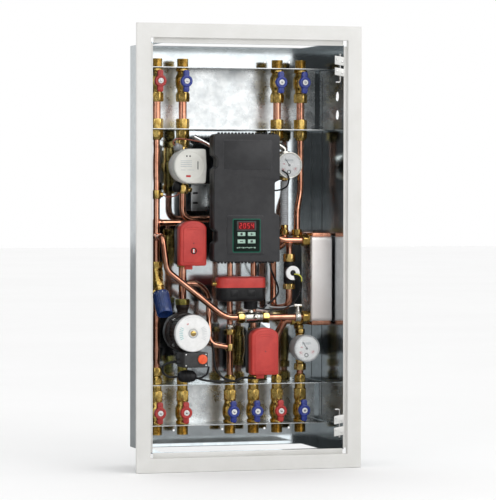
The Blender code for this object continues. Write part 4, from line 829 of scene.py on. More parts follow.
# Heat meter: brass body, round plastic head with a flat right-hand side, and its sensor leads.
meterAt = (x1, valveY, 0)
headZ = middle("heat_meter_display")[2]
brass = [hexNut(0.0190, 0.2735, topEnd, meterAt, turn=0.3)]
brass.append(roundLathe([(0, 0.2745), (0.0145, 0.2745), (0.0145, 0.238), (0.0165, 0.232), (0.0165, 0.208), (0.0145, 0.202),
                         (0.0145, 0.168), (0, 0.168)], 0.003, meterAt, sides=36))
brass.append(hexNut(0.0175, 0.1500, 0.1695, meterAt, turn=0.15))
brass.append(roundLathe([(0, 0.145), (0.0150, 0.145), (0.0160, 0.151), (0, 0.151)], 0.001, meterAt, sides=32))
brass.append(block((x1 + 0.013, -0.0805, 0.1505), (x1 + 0.026, -0.0695, 0.1615), 0.0015))
brass.append(roundLathe([(0, 0), (0.0190, 0), (0.0190, 0.0182), (0, 0.0182)], 0.001, (x1, -0.075, headZ), (0, -1, 0), 36))
piece("heatMeterBrass", brass, look["brightBrass"], "heat_meter_body")
headLow, headHigh = low("heat_meter_display"), high("heat_meter_display")
headRadius = (headHigh[2] - headLow[2]) / 2
turns = np.linspace(math.pi / 2, 1.5 * math.pi, 25)
roundSide = np.stack([x1 + 0.002 + headRadius * np.cos(turns), headZ + headRadius * np.sin(turns)], -1)
flatSide = softened([roundSide[-1], (x1 + 0.0465, headZ - headRadius), (x1 + 0.0495, headZ), (x1 + 0.0465, headZ + headRadius),
                     roundSide[0]], [0.006, 0.010, 0.006], 5)[1:-1]
headOutline = np.vstack([roundSide, flatSide])
head = [plate(headOutline, headHigh[1], headLow[1] + 0.0150, 0.0012, backEdge=0.0020),
        plate(drawnIn(headOutline, 0.0012), headLow[1] + 0.0155, headLow[1] + 0.0006, 0.0035, steps=5)]
ringMid = [x1 - 0.0005, headLow[1] + 0.0006, headZ]
head.append(turnedBy(lathe(softened([(0.0393, -0.0006), (0.0410, -0.0006), (0.0410, 0.0016), (0.0393, 0.0016)], 0.0004, 2, closed=True),
                           ringMid, (0, -1, 0), 64, ringed=True), 0, (0, 1, 0), ringMid))
piece("heatMeterHead", head, look["paleCase"], "heat_meter_display")
seam = plate(drawnIn(headOutline, 0.0006), headLow[1] + 0.0165, headLow[1] + 0.0145, 0.0002)
piece("heatMeterSeam", [seam], look["inkGrey"], "heat_meter_display", replaced=False)
faceY = headLow[1] + 0.0006
marks = dict(
    meterRedMark=("inkRed", [(-0.0105, 0.0025, -0.0300, -0.0245)]),
    meterDarkMarks=("inkDark", [(-0.0105, -0.0065, 0.0250, 0.0290), (-0.0015, 0.0025, 0.0250, 0.0290),
                                (0.0215, 0.0240, -0.0090, 0.0130)]),
    meterGreyMarks=("inkGrey", [(-0.0260, 0.0060, 0.0135 - 0.0050 * k, 0.0150 - 0.0050 * k) for k in range(4)]
                    + [(-0.0260, -0.0120, -0.0110, -0.0098), (-0.0070, 0.0120, -0.0110, -0.0098)]))
for name, (inkName, spots) in marks.items():
    ink = [plate(rectangle(x1 + a, x1 + b, headZ + c, headZ + d, 0.0006, 2), faceY + 0.0004, faceY - 0.00025, 0.0001)
           for a, b, c, d in spots]
    piece(name, ink, look[inkName], "heat_meter_display", replaced=False)
pocket = (x1 - 0.0165, -0.100, 0.2710)
piece("flowPocket", [roundLathe([(0, -0.004), (0.0095, -0.004), (0.0095, 0.012), (0.0065, 0.016), (0, 0.016)], 0.001,
                                pocket, (-0.75, -0.35, 0.25), 28)], look["leadGrey"], "heat_meter_body", replaced=False)
plugAt = (x1 - 0.0225, -0.098, 0.163)
piece("meterConnector", [roundLathe([(0, -0.012), (0.0105, -0.012), (0.0125, -0.002), (0.0105, 0.010), (0.0060, 0.015),
                                     (0, 0.015)], 0.002, plugAt, (0.15, -0.2, 1), 32)], look["blackCase"],
      "heat_meter_display", replaced=False)
piece("meterSensorLeads", [
    tube(flowing([(x0 + 0.015, valveY, 0.143), (x0 + 0.028, -0.084, 0.137), (x0 + 0.046, -0.096, 0.139),
                  (x1 - 0.018, -0.099, 0.146), (x1 - 0.020, -0.098, 0.154)], 8), 0.0016, 10),
    tube(flowing([(x1 - 0.027, -0.104, 0.274), (x1 - 0.036, -0.108, 0.284), (x1 - 0.026, -0.110, 0.2945),
                  (x1 + 0.004, -0.108, 0.293), (x1 + 0.030, -0.106, 0.289), (x1 + 0.052, -0.120, 0.283),
                  (x1 + 0.058, -0.150, 0.270), (x1 + 0.055, -0.162, 0.255)], 8), 0.0018, 10)],
      look["leadBrown"], "heat_meter_display", replaced=False)
piece("stubTube", [tube([(-0.114, -0.090, 0.3015), (-0.070, -0.094, 0.277)], 0.0065, 24)], look["steel"],
      "controller_back", replaced=False)


# Actuator cover: arched outline, a raised panel inside a bevelled border, and a groove-like arc near the top.
def archOutline(node, inset=0.0, steps=17):
    lo, hi = low(node), high(node)
    middleX, radius = (lo[0] + hi[0]) / 2, (hi[0] - lo[0]) / 2 - inset
    bottom, top = lo[2] + 0.010 + inset, hi[2] - inset
    rise = radius * 0.62
    a = np.linspace(0, math.pi, steps)
    arch = np.stack([middleX + radius * np.cos(a), top - rise + rise * np.sin(a)], -1)
    corners = softened([arch[-1], (middleX - radius, bottom), (middleX + radius, bottom), arch[0]], [0.007, 0.007], 5)[1:-1]
    return np.vstack([arch, corners])


def actuatorPieces(node, prefix, window):
    lo, hi = low(node), high(node)
    front, back = lo[1], hi[1]
    x, z = (lo[0] + hi[0]) / 2, (lo[2] + 0.010 + hi[2]) / 2
    base = [plate(archOutline(node, 0.0018), back, back - 0.0400, 0.0015, backEdge=0.0030)]
    base.append(roundLathe([(0, -0.001), (0.0200, -0.001), (0.0200, 0.006), (0, 0.006)], 0.001, (x, back, z), (0, -1, 0), 32))
    base += [block((x + side * 0.022 - 0.006, back - 0.036, lo[2] + 0.009), (x + side * 0.022 + 0.006, back - 0.006, lo[2] + 0.014),
                   0.001) for side in (-1, 1)]
    piece(prefix + "Base", base, look["blackCase"], node)
    cover = [plate(archOutline(node), back - 0.0385, front + 0.0016, 0.0060, backEdge=0.0006, steps=6)]
    cover.append(plate(archOutline(node, 0.0085), front + 0.0030, front, 0.0014, steps=4))
    tabX = x - 0.009
    cover.append(block((tabX - 0.011, front + 0.018, lo[2]), (tabX + 0.011, back - 0.045, lo[2] + 0.014), 0.0015))
    cover += [block((tabX - 0.0075 + k * 0.005, front + 0.0172, lo[2] + 0.002), (tabX - 0.0055 + k * 0.005, front + 0.020,
                    lo[2] + 0.011), 0.0005) for k in range(3)]
    half = (hi[0] - lo[0]) / 2
    a = np.linspace(0.30 * math.pi, 0.70 * math.pi, 24)
    for drop, thick in ((0.017, 0.0011), (0.023, 0.0008)):
        arc = np.stack([x + half * 0.95 * np.cos(a), np.full_like(a, front), hi[2] - drop - half * 0.35 + half * 0.35 * np.sin(a)], -1)
        cover.append(tube(arc, thick, 10))
    piece(prefix + "Cover", cover, look["redCase"], node)
    # A dark disc at the cover's dimple: painted shade in the recess.
    dots = [roundLathe([(0, -0.001), (0.0016, -0.001), (0.0016, 0.0003), (0, 0.0004)], 0.0002, (x, front, z), (0, -1, 0), 20)]
    piece(prefix + "DimpleShade", dots, look["inkDark"], node, replaced=False)
    seamLine = plate(archOutline(node, 0.0012), back - 0.0380, back - 0.0402, 0.0002)
    piece(prefix + "Seam", [seamLine], look["inkDark"], node, replaced=False)
    if window:
        at = (x, front, z - 0.0205)
        rim = lathe(softened([(0.0058, -0.001), (0.0085, -0.001), (0.0085, 0.0009), (0.0058, 0.0009)], 0.0006, 3, closed=True),
                    at, (0, -1, 0), 40, ringed=True)
        disc = roundLathe([(0, -0.001), (0.0060, -0.001), (0.0060, -0.0001), (0, 0.0)], 0.0002, at, (0, -1, 0), 32)
        piece(prefix + "Window", [rim, disc], look["blackCase"], node, replaced=False)
        piece(prefix + "Pointer", [block((x - 0.0016, front - 0.0008, at[2] - 0.0052), (x + 0.0016, front, at[2] + 0.0052), 0.0003)],
              look["labelWhite"], node, replaced=False)


actuatorPieces("actuator_left", "leftActuator", True)
actuatorPieces("actuator_right", "rightActuator", False)


# Zone valve body in one line with its risers: counted from the pipe's axis, top to bottom.
def zoneValve(node, name, x, rows, spindleZ, nuts, copperRun=None):
    at = (x, valveY, 0)
    surfaces = [roundLathe([(0, rows[0][1])] + rows + [(0, rows[-1][1])], 0.003, at, sides=36)]
    surfaces += [hexNut(corner, top, bottom, at, turn=turn) for corner, top, bottom, turn in nuts]
    surfaces.append(roundLathe([(0, 0.010), (0.0150, 0.010), (0.0150, 0.020), (0.0110, 0.023), (0.0110, 0.0388), (0, 0.0388)],
                               0.001, (x, valveY, spindleZ), (0, -1, 0), 32))
    piece(name, surfaces, look["castBrass"], node)
    if copperRun:
        piece(name + "Pipe", [lathe([(0, copperRun[1]), (copperRun[0], copperRun[1]), (copperRun[0], copperRun[2]),
                                     (0, copperRun[2])], at, sides=28)], look["copper"], node)


pumpTop = high("pump_volute")[2]
zoneValve("zone_valve_left", "leftZoneValve", x1,
          [(0.0140, 0.032), (0.0140, 0.028), (0.0178, 0.012), (0.0178, -0.024), (0.0140, -0.038), (0.0140, -0.044)], -0.006,
          [(0.0165, 0.030, high("zone_valve_left")[2], 0.2), (0.0165, -0.055, -0.040, 0.35)], (0.0108, -0.053, pumpTop + 0.0003))
zoneValve("zone_valve_right", "rightZoneValve", x4,
          [(0.0140, -0.238), (0.0140, -0.242), (0.0178, -0.262), (0.0178, -0.298), (0.0140, -0.318), (0.0140, -0.322)], -0.280,
          [(0.0165, -0.240, high("zone_valve_right")[2], 0.1), (0.0165, -0.335, -0.320, 0.3)], (0.0095, -0.333, lowEnd))
print("left side and actuators made")

# Pump: cast volute, ribbed motor can, white face with faint generic marks, vent screw, terminal box and speed knob.
pump = dict(fins=30, bolts=4, discRadius=0.0505)
pumpX, pumpZ = middle("pump_motor")[0], middle("pump_rotor")[2]
pumpAt = (pumpX, valveY, pumpZ)
voluteLow, motorLow, motorHigh = low("pump_volute"), low("pump_motor"), high("pump_motor")
volute = [roundLathe([(0, 0.032), (0.030, 0.032), (0.046, 0.026), (0.0535, 0.012), (0.0540, -0.016), (0.0500, -0.0245), (0, -0.0245)],
                     0.006, pumpAt, (0, 1, 0), 64, 4)]
# The snail's swelling: the casing grows outwards once round, so its outlet side is fuller.
spin = np.linspace(0, 2 * math.pi, 60)
snail = np.stack([pumpX + 0.039 * np.cos(spin), np.full_like(spin, valveY + 0.002), pumpZ + 0.039 * np.sin(spin)], -1)
volute.append(tube(snail, 0.0115 + 0.0045 * spin / (2 * math.pi), 20))
for sign in (1, -1):
    volute.append(roundLathe([(0, 0.030), (0.0165, 0.030), (0.0150, 0.045), (0.0150, 0.060), (0.0185, 0.066), (0.0185, 0.0745), (0, 0.0745)],
                             0.003, pumpAt, (0, 0, sign), 40))
for k in range(pump["bolts"]):
    a = math.pi / 4 + k * math.pi / 2
    at = (pumpX + 0.047 * math.cos(a), valveY, pumpZ + 0.047 * math.sin(a))
    volute.append(roundLathe([(0, -0.008), (0.0085, -0.008), (0.0085, 0.024), (0, 0.024)], 0.002, at, (0, -1, 0), 24))
piece("pumpVolute", volute, look["castIron"], "pump_volute")
unions = [hexNut(0.0200, 0.073, pumpTop - pumpZ - 0.0002, pumpAt, turn=0.25), hexNut(0.0200, -0.0895, -0.073, pumpAt, turn=0.1)]
unions.append(roundLathe([(0, -0.088), (0.0140, -0.088), (0.0140, lowEnd - pumpZ), (0, lowEnd - pumpZ)], 0.0008, pumpAt))
piece("pumpUnions", unions, look["oliveBrass"], "pump_volute")
bolts = []
for k in range(pump["bolts"]):
    a = math.pi / 4 + k * math.pi / 2
    at = (pumpX + 0.047 * math.cos(a), motorHigh[1] - 0.008, pumpZ + 0.047 * math.sin(a))
    bolts.append(roundLathe([(0, 0), (0.0050, 0), (0.0050, 0.0050), (0.0026, 0.0050), (0.0026, 0.0025), (0, 0.0025)], 0.0006, at,
                            (0, -1, 0), 24))
piece("pumpBolts", bolts, look["steel"], "pump_motor")
flangeAt = (pumpX, motorHigh[1], pumpZ)
can = [roundLathe([(0, 0), (0.0530, 0), (0.0530, 0.0060), (0.0460, 0.0090), (0.0455, 0.066), (0.0480, 0.072), (0, 0.072)], 0.0015,
                  flangeAt, (0, -1, 0), 64)]
for k in range(pump["fins"]):
    a = 2 * math.pi * (k + 0.5) / pump["fins"]
    if -math.pi * 0.68 < (a if a < math.pi else a - 2 * math.pi) < -math.pi * 0.32:
        continue
    fin = block((pumpX + 0.0445, motorHigh[1] - 0.066, pumpZ - 0.0009), (pumpX + 0.0492, motorHigh[1] - 0.012, pumpZ + 0.0009), 0.0005, 1)
    can.append(turnedBy(fin, a, (0, -1, 0), flangeAt))
piece("pumpCan", can, look["castIron"], "pump_motor")
r = pump["discRadius"]
disc = roundLathe([(0, 0.0700), (r, 0.0700), (r + 0.0003, 0.0780), (r - 0.0020, 0.0835), (0.0160, 0.0840), (0.0140, 0.0825), (0, 0.0825)],
                  0.0018, flangeAt, (0, -1, 0), 72, 4)
piece("pumpFace", [disc], look["labelWhite"], "pump_motor")
ring = lathe(softened([(0.0100, 0.0815), (0.0135, 0.0815), (0.0130, 0.0838), (0.0105, 0.0838)], 0.0006, 3, closed=True), flangeAt,
             (0, -1, 0), 48, ringed=True)
piece("pumpPlugRing", [ring], look["foamGrey"], "pump_motor", replaced=False)


# Faint ink on the pump's face: arcs of small bars at a radius, between two angles.
def inkArc(radius, fromAngle, toAngle, count, barLong, barWide):
    bars = []
    for a in np.linspace(fromAngle, toAngle, count):
        bar = block((pumpX + radius - barLong / 2, motorLow[1] - 0.00030, pumpZ - barWide / 2),
                    (pumpX + radius + barLong / 2, motorLow[1] + 0.0005, pumpZ + barWide / 2), 0.0001, 1)
        bars.append(turnedBy(bar, a, (0, -1, 0), flangeAt))
    return bars


piece("pumpTealInk", inkArc(0.034, math.radians(-205), math.radians(-155), 7, 0.010, 0.0016), look["inkTeal"], "pump_motor", replaced=False)
piece("pumpGreyInk", inkArc(0.032, math.radians(-28), math.radians(30), 9, 0.013, 0.0008)
      + inkArc(0.0445, math.radians(60), math.radians(120), 16, 0.0022, 0.0007), look["inkGrey"], "pump_motor", replaced=False)
piece("pumpRedInk", inkArc(0.030, math.radians(118), math.radians(124), 2, 0.004, 0.0016), look["inkRed"], "pump_motor", replaced=False)
plugLow = low("pump_vent_plug")
plugAt = (pumpX, plugLow[1], pumpZ)
plug = roundLathe([(0, -0.0092), (0.0072, -0.0092), (0.0076, -0.0022), (0.0062, 0.0), (0, 0.0)], 0.0009, plugAt, (0, -1, 0), 36)
piece("ventPlug", [plug], look["brightBrass"], "pump_vent_plug")
# The plug's slot is a dark bar standing just proud of its face: painted shade in the slot.
piece("ventPlugSlotShade", [block((pumpX - 0.0058, plugLow[1] - 0.00012, pumpZ - 0.0007), (pumpX + 0.0058, plugLow[1] + 0.0006, pumpZ + 0.0007),
                             0.0001, 1)], look["inkDark"], "pump_vent_plug", replaced=False)
# Rotor: bladed wheel, shaft and can inside the housing.
wheel = [roundLathe([(0, 0.0125), (0.0325, 0.0125), (0.0325, 0.0105), (0, 0.0105)], 0.0005, pumpAt, (0, 1, 0), 48),
         roundLathe([(0, 0.0045), (0.0325, 0.0045), (0.0325, 0.0025), (0.0120, -0.0058), (0.0120, -0.024), (0, -0.024)], 0.001, pumpAt,
                    (0, 1, 0), 48),
         roundLathe([(0, -0.0235), (0.0100, -0.0235), (0.0220, -0.030), (0.0220, -0.0735), (0, -0.0735)], 0.001, pumpAt, (0, 1, 0), 48)]
for k in range(7):
    a = 2 * math.pi * k / 7
    sweepOut = np.linspace(0, 1, 8)
    blade = np.stack([pumpX + (0.010 + 0.0215 * sweepOut) * np.cos(a + 0.9 * sweepOut), np.full_like(sweepOut, valveY + 0.0075),
                      pumpZ + (0.010 + 0.0215 * sweepOut) * np.sin(a + 0.9 * sweepOut)], -1)
    wheel.append(tube(blade, 0.0031, 8))
piece("pumpRotor", wheel, look["nickel"], "pump_rotor")
boxLow, boxHigh = low("pump_terminal_box"), high("pump_terminal_box")
boxOutline = rectangle(boxLow[0], boxHigh[0], boxLow[2], boxHigh[2], 0.0035, 5)
box = [plate(boxOutline, boxHigh[1], boxLow[1] + 0.0120, 0.0008, backEdge=0.0015),
       plate(drawnIn(boxOutline, 0.0004), boxLow[1] + 0.0116, boxLow[1], 0.0022, steps=4)]
box.append(roundLathe([(0, 0), (0.0070, 0), (0.0060, 0.012), (0, 0.012)], 0.0008, (boxLow[0] + 0.002, -0.143, pumpZ - 0.078), (-1, 0, 0), 28))
piece("terminalBox", box, look["boxGrey"], "pump_terminal_box")
boxScrews = [roundLathe([(0, -0.001), (0.0022, -0.001), (0.0022, 0.0003), (0, 0.0005)], 0.0003, (x, boxLow[1], z), (0, -1, 0), 20)
             for x in (boxLow[0] + 0.006, boxHigh[0] - 0.006) for z in (boxLow[2] + 0.006, boxHigh[2] - 0.006)]
piece("terminalBoxScrews", boxScrews, look["steel"], "pump_terminal_box", replaced=False)
knobAt = np.array([middle("pump_speed_knob")[0], boxLow[1], middle("pump_speed_knob")[2]])


def fluted(radius, along, angle):
    return radius - (radius > 0.0115) * 0.0005 * np.abs(np.sin(angle * 9)) ** 3


knob = lathe(softened([(0, -0.005), (0.0060, -0.005), (0.0060, 0.0004), (0.0134, 0.0004), (0.0129, 0.0062), (0.0, 0.0069)], 0.0010, 4),
             knobAt, (0, -1, 0), 108, fluted)
knobBar = block((knobAt[0] - 0.0014, knobAt[1] - 0.0082, knobAt[2] - 0.0105), (knobAt[0] + 0.0014, knobAt[1] - 0.0060, knobAt[2] + 0.0105), 0.0006)
piece("speedKnob", [knob, turnedBy(knobBar, 0.5, (0, 1, 0), knobAt)], look["orangeKnob"], "pump_speed_knob")
print("pump made")

# Middle ball valve: nuts, nickel body with a bonnet, black coupling, and the flat actuator above it.
midLow = low("middle_valve")
mid = np.array([midLow[0], frontY, middleZ])
across3 = (1, 0, 0)
nickelParts = [roundLathe([(0, 0.015), (0.0130, 0.015), (0.0152, 0.022), (0.0158, 0.0375), (0.0152, 0.053), (0.0130, 0.0605), (0.0130, 0.0715), (0, 0.0715)],
                          0.004, mid, across3, 40)]
nickelParts += [lathe(softened([(0.0140, h), (0.0150, h + 0.0008), (0.0140, h + 0.0016), (0.0130, h + 0.0008)], 0.0003, 2, closed=True), mid, across3, 36,
                      ringed=True) for h in (0.0610, 0.0635, 0.0660)]
couplingAt = np.array(middle("middle_coupling"))
couplingAt[2] = middleZ
nickelParts.append(roundLathe([(0, 0.0080), (0.0095, 0.0080), (0.0088, 0.0150), (0.0078, 0.0214), (0, 0.0214)], 0.001, couplingAt, (0, 0, 1), 28))
nickelParts.append(roundLathe([(0, 0.008), (0.0075, 0.008), (0.0065, 0.0185), (0.0040, 0.0215), (0, 0.0215)], 0.001, couplingAt + [0.004, 0, 0], (0.35, -1, 0.15), 28))
piece("middleValveBody", nickelParts, look["nickel"], "middle_valve")
piece("middleValveNuts", [hexNut(0.0165, 0.0003, 0.0165, mid, across3, 0.2), hexNut(0.0165, 0.0705, 0.0880, mid, across3, 0.4),
                          roundLathe([(0, 0.0165), (0.0142, 0.0165), (0.0142, 0.0195), (0, 0.0195)], 0.0008, mid, across3)],
      look["brightBrass"], "middle_valve")
piece("middleValvePipe", [lathe([(0, 0.086), (0.0088, 0.086), (0.0088, high("middle_valve")[0] - mid[0]), (0, high("middle_valve")[0] - mid[0])], mid, across3, 28)],
      look["copper"], "middle_valve")
a = np.linspace(-0.5 * math.pi, 0.5 * math.pi, 13)[1:-1]
bowl = [(0.0118 * math.cos(q), 0.0118 * math.sin(q)) for q in a]
piece("middleBall", [lathe([(0, -0.0118)] + bowl + [(0, 0.0118)], couplingAt, (0, 0, 1), 32),
                     roundLathe([(0, 0.010), (0.0036, 0.010), (0.0036, 0.0240), (0, 0.0240)], 0.0004, couplingAt, (0, 0, 1), 20)], look["nickel"],
      "middle_coupling")
piece("middleCoupling", [roundLathe([(0, 0.0226), (0.0168, 0.0226), (0.0176, 0.0290), (0.0194, 0.0400), (0.0198, 0.0492), (0, 0.0492)], 0.0012,
                                    couplingAt, (0, 0, 1), 40)]
      + [turnedBy(block(couplingAt + [0.0160, -0.0016, 0.0245], couplingAt + [0.0192, 0.0016, 0.0335], 0.0006), k * math.pi / 4, (0, 0, 1), couplingAt)
         for k in range(8)], look["blackCase"], "middle_coupling")
amLow, amHigh = low("actuator_middle"), high("actuator_middle")
amLeft = amHigh[0] - 0.136
amOutline = softened([(amLeft, amLow[1]), (amHigh[0], amLow[1]), (amHigh[0], amHigh[1]), (amLeft, amHigh[1])], [0.026] * 4, 9, closed=True)
amOutline[:, 1] = np.clip(amOutline[:, 1], amLow[1], amHigh[1])
bottom, top = amLow[2], amHigh[2]
split = bottom + 0.0375
piece("middleActuatorBase", [plate(drawnIn(amOutline, 0.0020), split, bottom, 0.0110, "xy", 0.0004, 6)]
      + [block((amLeft + x, amLow[1] + 0.0012, bottom + 0.013), (amLeft + x + 0.022, amLow[1] + 0.0040, split - 0.006), 0.0008)
         for x in (0.032, 0.080)], look["blackCase"], "actuator_middle")
lidEnd = [plate(amOutline, split, top - 0.0010, 0.0065, "xy", 0.0006, 6), plate(drawnIn(amOutline, 0.0095), top - 0.0020, top, 0.0012, "xy", steps=3)]
lidEnd.append(block((amHigh[0] - 0.006, amLow[1] + 0.018, split + 0.002), (amHigh[0] - 0.0002, amLow[1] + 0.038, split + 0.020), 0.002))
piece("middleActuatorLid", lidEnd, look["redCase"], "actuator_middle")
piece("middleActuatorSeam", [plate(drawnIn(amOutline, 0.0014), split + 0.0006, split - 0.0010, 0.0002, "xy")], look["inkDark"], "actuator_middle", replaced=False)
piece("middleActuatorTip", [roundLathe([(0, 0), (0.0080, 0), (0.0080, 0.004), (0.0055, 0.006), (0.0055, 0.0115), (0, 0.0115)], 0.001,
                                       (amLeft, middle("actuator_middle")[1], bottom + 0.048), (-1, 0, 0), 28)],
      look["brightBrass"], "actuator_middle", replaced=False)
print("middle valve made")

# Plate exchanger: the skirt of each plate stands out as a rib, so the outline swells by a wave along the stack.
exchanger = dict(plates=22, swell=0.00022)
exRight, exLeft = high("heat_exchanger")[0], exchangerLeft
exFront, exBack = low("heat_exchanger")[1], -0.062
exTop, exLow = 0.030, -0.206


def stack(front, back, bottom, top, corner, start, end, rows):
    outline = rectangle(front, back, bottom, top, corner, 6)
    along = np.linspace(start, end, rows)
    wave = exchanger["swell"] * np.abs(np.sin(math.pi * exchanger["plates"] * (along - start) / (end - start)))
    edge = 0.0022 * (np.exp(-(along - start) / 0.0012) + np.exp(-(end - along) / 0.0012))
    return skin(np.array([placed(drawnIn(outline, exchanger["swell"] - g + e), x, "yz") for x, g, e in zip(along, wave, edge)]))


piece("exchangerStack", [stack(exFront, exBack, exLow, exTop, 0.012, exLeft, exRight, 180)], look["plateSteel"], "heat_exchanger")
piece("exchangerRims", [stack(exFront + 0.0035, exBack - 0.0035, exTop - 0.012, exTop + 0.010, 0.006, exLeft + 0.002, exRight - 0.002, 120),
                        stack(exFront + 0.0035, exBack - 0.0035, exLow - 0.010, exLow + 0.012, 0.006, exLeft + 0.002, exRight - 0.002, 120)],
      look["copper"], "heat_exchanger")
faceSide = plate(rectangle(exFront + 0.004, exBack - 0.004, exLow + 0.004, exTop - 0.004, 0.010, 5), exLeft + 0.0006, exLeft - 0.0012, 0.0006, "yz")
piece("exchangerEndPlate", [faceSide], look["steel"], "heat_exchanger", replaced=False)
dots = [roundLathe([(0, 0), (0.0011, 0), (0.0008, 0.0008), (0, 0.0009)], 0.0002, (exLeft - 0.0008, exFront + 0.0062, z), (-1, 0, 0), 10)
        for z in np.linspace(exLow + 0.012, exTop - 0.012, 30)]
piece("exchangerSpots", dots, look["copper"], "heat_exchanger", replaced=False)
sides = (-1, 0, 0)
ports = [hexNut(0.0175, 0.0040, 0.0203, (exLeft, frontY, z), sides, 0.2) for z in (0.0177, middleZ)]
ports += [roundLathe([(0, -0.002), (0.0150, -0.002), (0.0135, 0.0045), (0, 0.0045)], 0.001, (exLeft, frontY, z), sides) for z in (0.0177, middleZ)]
ports += [roundLathe([(0, -0.002), (0.0120, -0.002), (0.0120, run), (0, run)], 0.001, (exLeft, -0.087, z), sides)
          for z, run in ((0.0177, 0.022), (-0.2035, 0.040))]
for x, z, way in ((exLeft - 0.022, 0.0177, 1), (exLeft - 0.016, -0.2035, -1)):
    ports.append(roundLathe([(0, -0.013), (0.0090, -0.0125), (0.0128, -0.006), (0.0128, 0.0125), (0, 0.0125)], 0.003, (x, -0.087, z), (0, 0, way)))
ports.append(hexNut(0.0150, 0.013, 0.0298, (exLeft - 0.022, -0.087, 0.0177), turn=0.3))
ports.append(hexNut(0.0150, 0.013, 0.0238, (exLeft - 0.016, -0.087, -0.2035), (0, 0, -1), 0.2))
ports.append(hexNut(0.0150, 0.028, 0.0398, (exLeft, -0.087, -0.2035), sides, 0.2))
piece("exchangerPorts", ports, look["castBrass"], "heat_exchanger")
print("exchanger made")

# One strip of quads between rows of points, turned so that its faces look along the given directions.
def strip(rows, outward):
    rows = np.asarray(rows, float)
    r, n = rows.shape[:2]
    index = np.arange(r * n).reshape(r, n)
    right = np.roll(index, -1, 1)
    quads = np.stack([index[:-1], right[:-1], right[1:], index[1:]], -1).reshape(-1, 4)
    flat = rows.reshape(-1, 3)
    normal = np.cross(flat[quads[:, 1]] - flat[quads[:, 0]], flat[quads[:, 3]] - flat[quads[:, 0]])
    toward = np.tile(np.asarray(outward, float), (r - 1, 1))
    faces = quads.tolist()
    if np.einsum("ij,ij->", normal, toward) < 0:
        faces = [face[::-1] for face in faces]
    return flat, faces


# A flat patch between an outer loop and the holes in it, all facing one way.
def patch(loops, direction):
    flat = np.vstack(loops)
    faces = [list(t) for t in tessellate_polygon([[Vector(p) for p in loop] for loop in loops])]
    def facing(f):
        return np.cross(flat[f[1]] - flat[f[0]], flat[f[2]] - flat[f[0]]) @ np.asarray(direction, float)
    return flat, [f if facing(f) > 0 else f[::-1] for f in faces]


# A moulded tray with holes through its front: rounded outer edge, a front skin of the given thickness, and an open back.
def tray(outline, holes, back, front, edge, hollow, thick, steps=4):
    outline, hollow = np.asarray(outline, float), np.asarray(hollow, float)
    way = math.copysign(1, front - back)
    q = np.linspace(math.pi / 2, 0, steps + 1)
    rows = [placed(outline, back)] + [placed(drawnIn(outline, edge * (1 - math.sin(a))), front - way * edge * (1 - math.cos(a))) for a in q]
    away = placed(outline - drawnIn(outline, 0.001), 0)
    inner = front - way * thick
    ahead, behind = (0, way, 0), (0, -way, 0)
    surfaces = [strip(rows, away), patch([rows[-1]] + [placed(h, front) for h in holes], ahead),
                patch([placed(hollow, inner)] + [placed(h, inner) for h in holes], behind),
                patch([rows[0], placed(hollow, back)], behind),
                strip([placed(hollow, inner), placed(hollow, back)], placed(drawnIn(hollow, 0.001) - hollow, 0))]
    surfaces += [strip([placed(h, front), placed(h, inner)], placed(drawnIn(h, 0.001) - h, 0)) for h in holes]
    return surfaces


# A plate with straight holes right through it and a rounded front edge.
def pierced(outline, holes, back, front, edge, steps=2):
    outline = np.asarray(outline, float)
    way = math.copysign(1, front - back)
    q = np.linspace(math.pi / 2, 0, steps + 1)
    rows = [placed(outline, back)] + [placed(drawnIn(outline, edge * (1 - math.sin(a))), front - way * edge * (1 - math.cos(a))) for a in q]
    away = placed(outline - drawnIn(outline, 0.001), 0)
    surfaces = [strip(rows, away), patch([rows[-1]] + [placed(h, front) for h in holes], (0, way, 0)),
                patch([rows[0]] + [placed(h, back) for h in holes], (0, -way, 0))]
    return surfaces + [strip([placed(h, front), placed(h, back)], placed(drawnIn(h, 0.001) - h, 0)) for h in holes]


# Controller case: one outline with notches in both sides, extruded twice, with the keypad on the front.
caseLow, caseHigh = low("controller_cover"), high("controller_cover")
backLow, backHigh = low("controller_back"), high("controller_back")
cl, cr, cb, ct = caseLow[0], caseHigh[0], caseLow[2], caseHigh[2]
caseOutline = softened([(cl, cb + 0.006), (cl + 0.006, cb), (cr, cb), (cr, 0.086), (cr - 0.014, 0.093), (cr - 0.014, 0.176), (cr, 0.183),
                        (cr, ct - 0.007), (cr - 0.007, ct), (cl + 0.007, ct), (cl, ct - 0.007), (cl, 0.249), (cl + 0.010, 0.242),
                        (cl + 0.010, 0.218), (cl, 0.211), (cl, 0.051), (cl + 0.010, 0.044), (cl + 0.010, 0.018), (cl, 0.011)],
                       [0.004] * 19, 3, closed=True)
caseMiddle = np.array([(cl + cr) / 2, (cb + ct) / 2])
caseHollow = caseMiddle + (caseOutline - caseMiddle) * [0.86, 0.955]
front, split = caseLow[1] + 0.0015, caseHigh[1]
keyPlaces = [(middle(f"key_{k}")[0], middle(f"key_{k}")[2]) for k in (1, 2, 3, 4)]
keyHoles = [rectangle(x - 0.0112, x + 0.0112, z - 0.0056, z + 0.0056, 0.0008, 2) for x, z in keyPlaces]
cover = tray(caseOutline, keyHoles, split, front, 0.0030, caseHollow, 0.0025)
cover.append(plate(rectangle(cl + 0.0275, cr - 0.0235, 0.211, 0.290, 0.003, 3), front + 0.0008, front - 0.0006, 0.0006, steps=2))
padOutline = rectangle(-0.055, 0.0495, -0.020, 0.087, 0.008, 6)
cover += pierced(padOutline, keyHoles, front + 0.0006, caseLow[1], 0.0012)
cover.append(block((cr - 0.0165, front - 0.0006, 0.120), (cr - 0.0150, front + 0.001, 0.160), 0.0004))
bumps = [(cl + 0.012 + k * 0.0096) for k in range(17)]
piece("controllerCover", cover, look["greyCase"], "controller_cover")
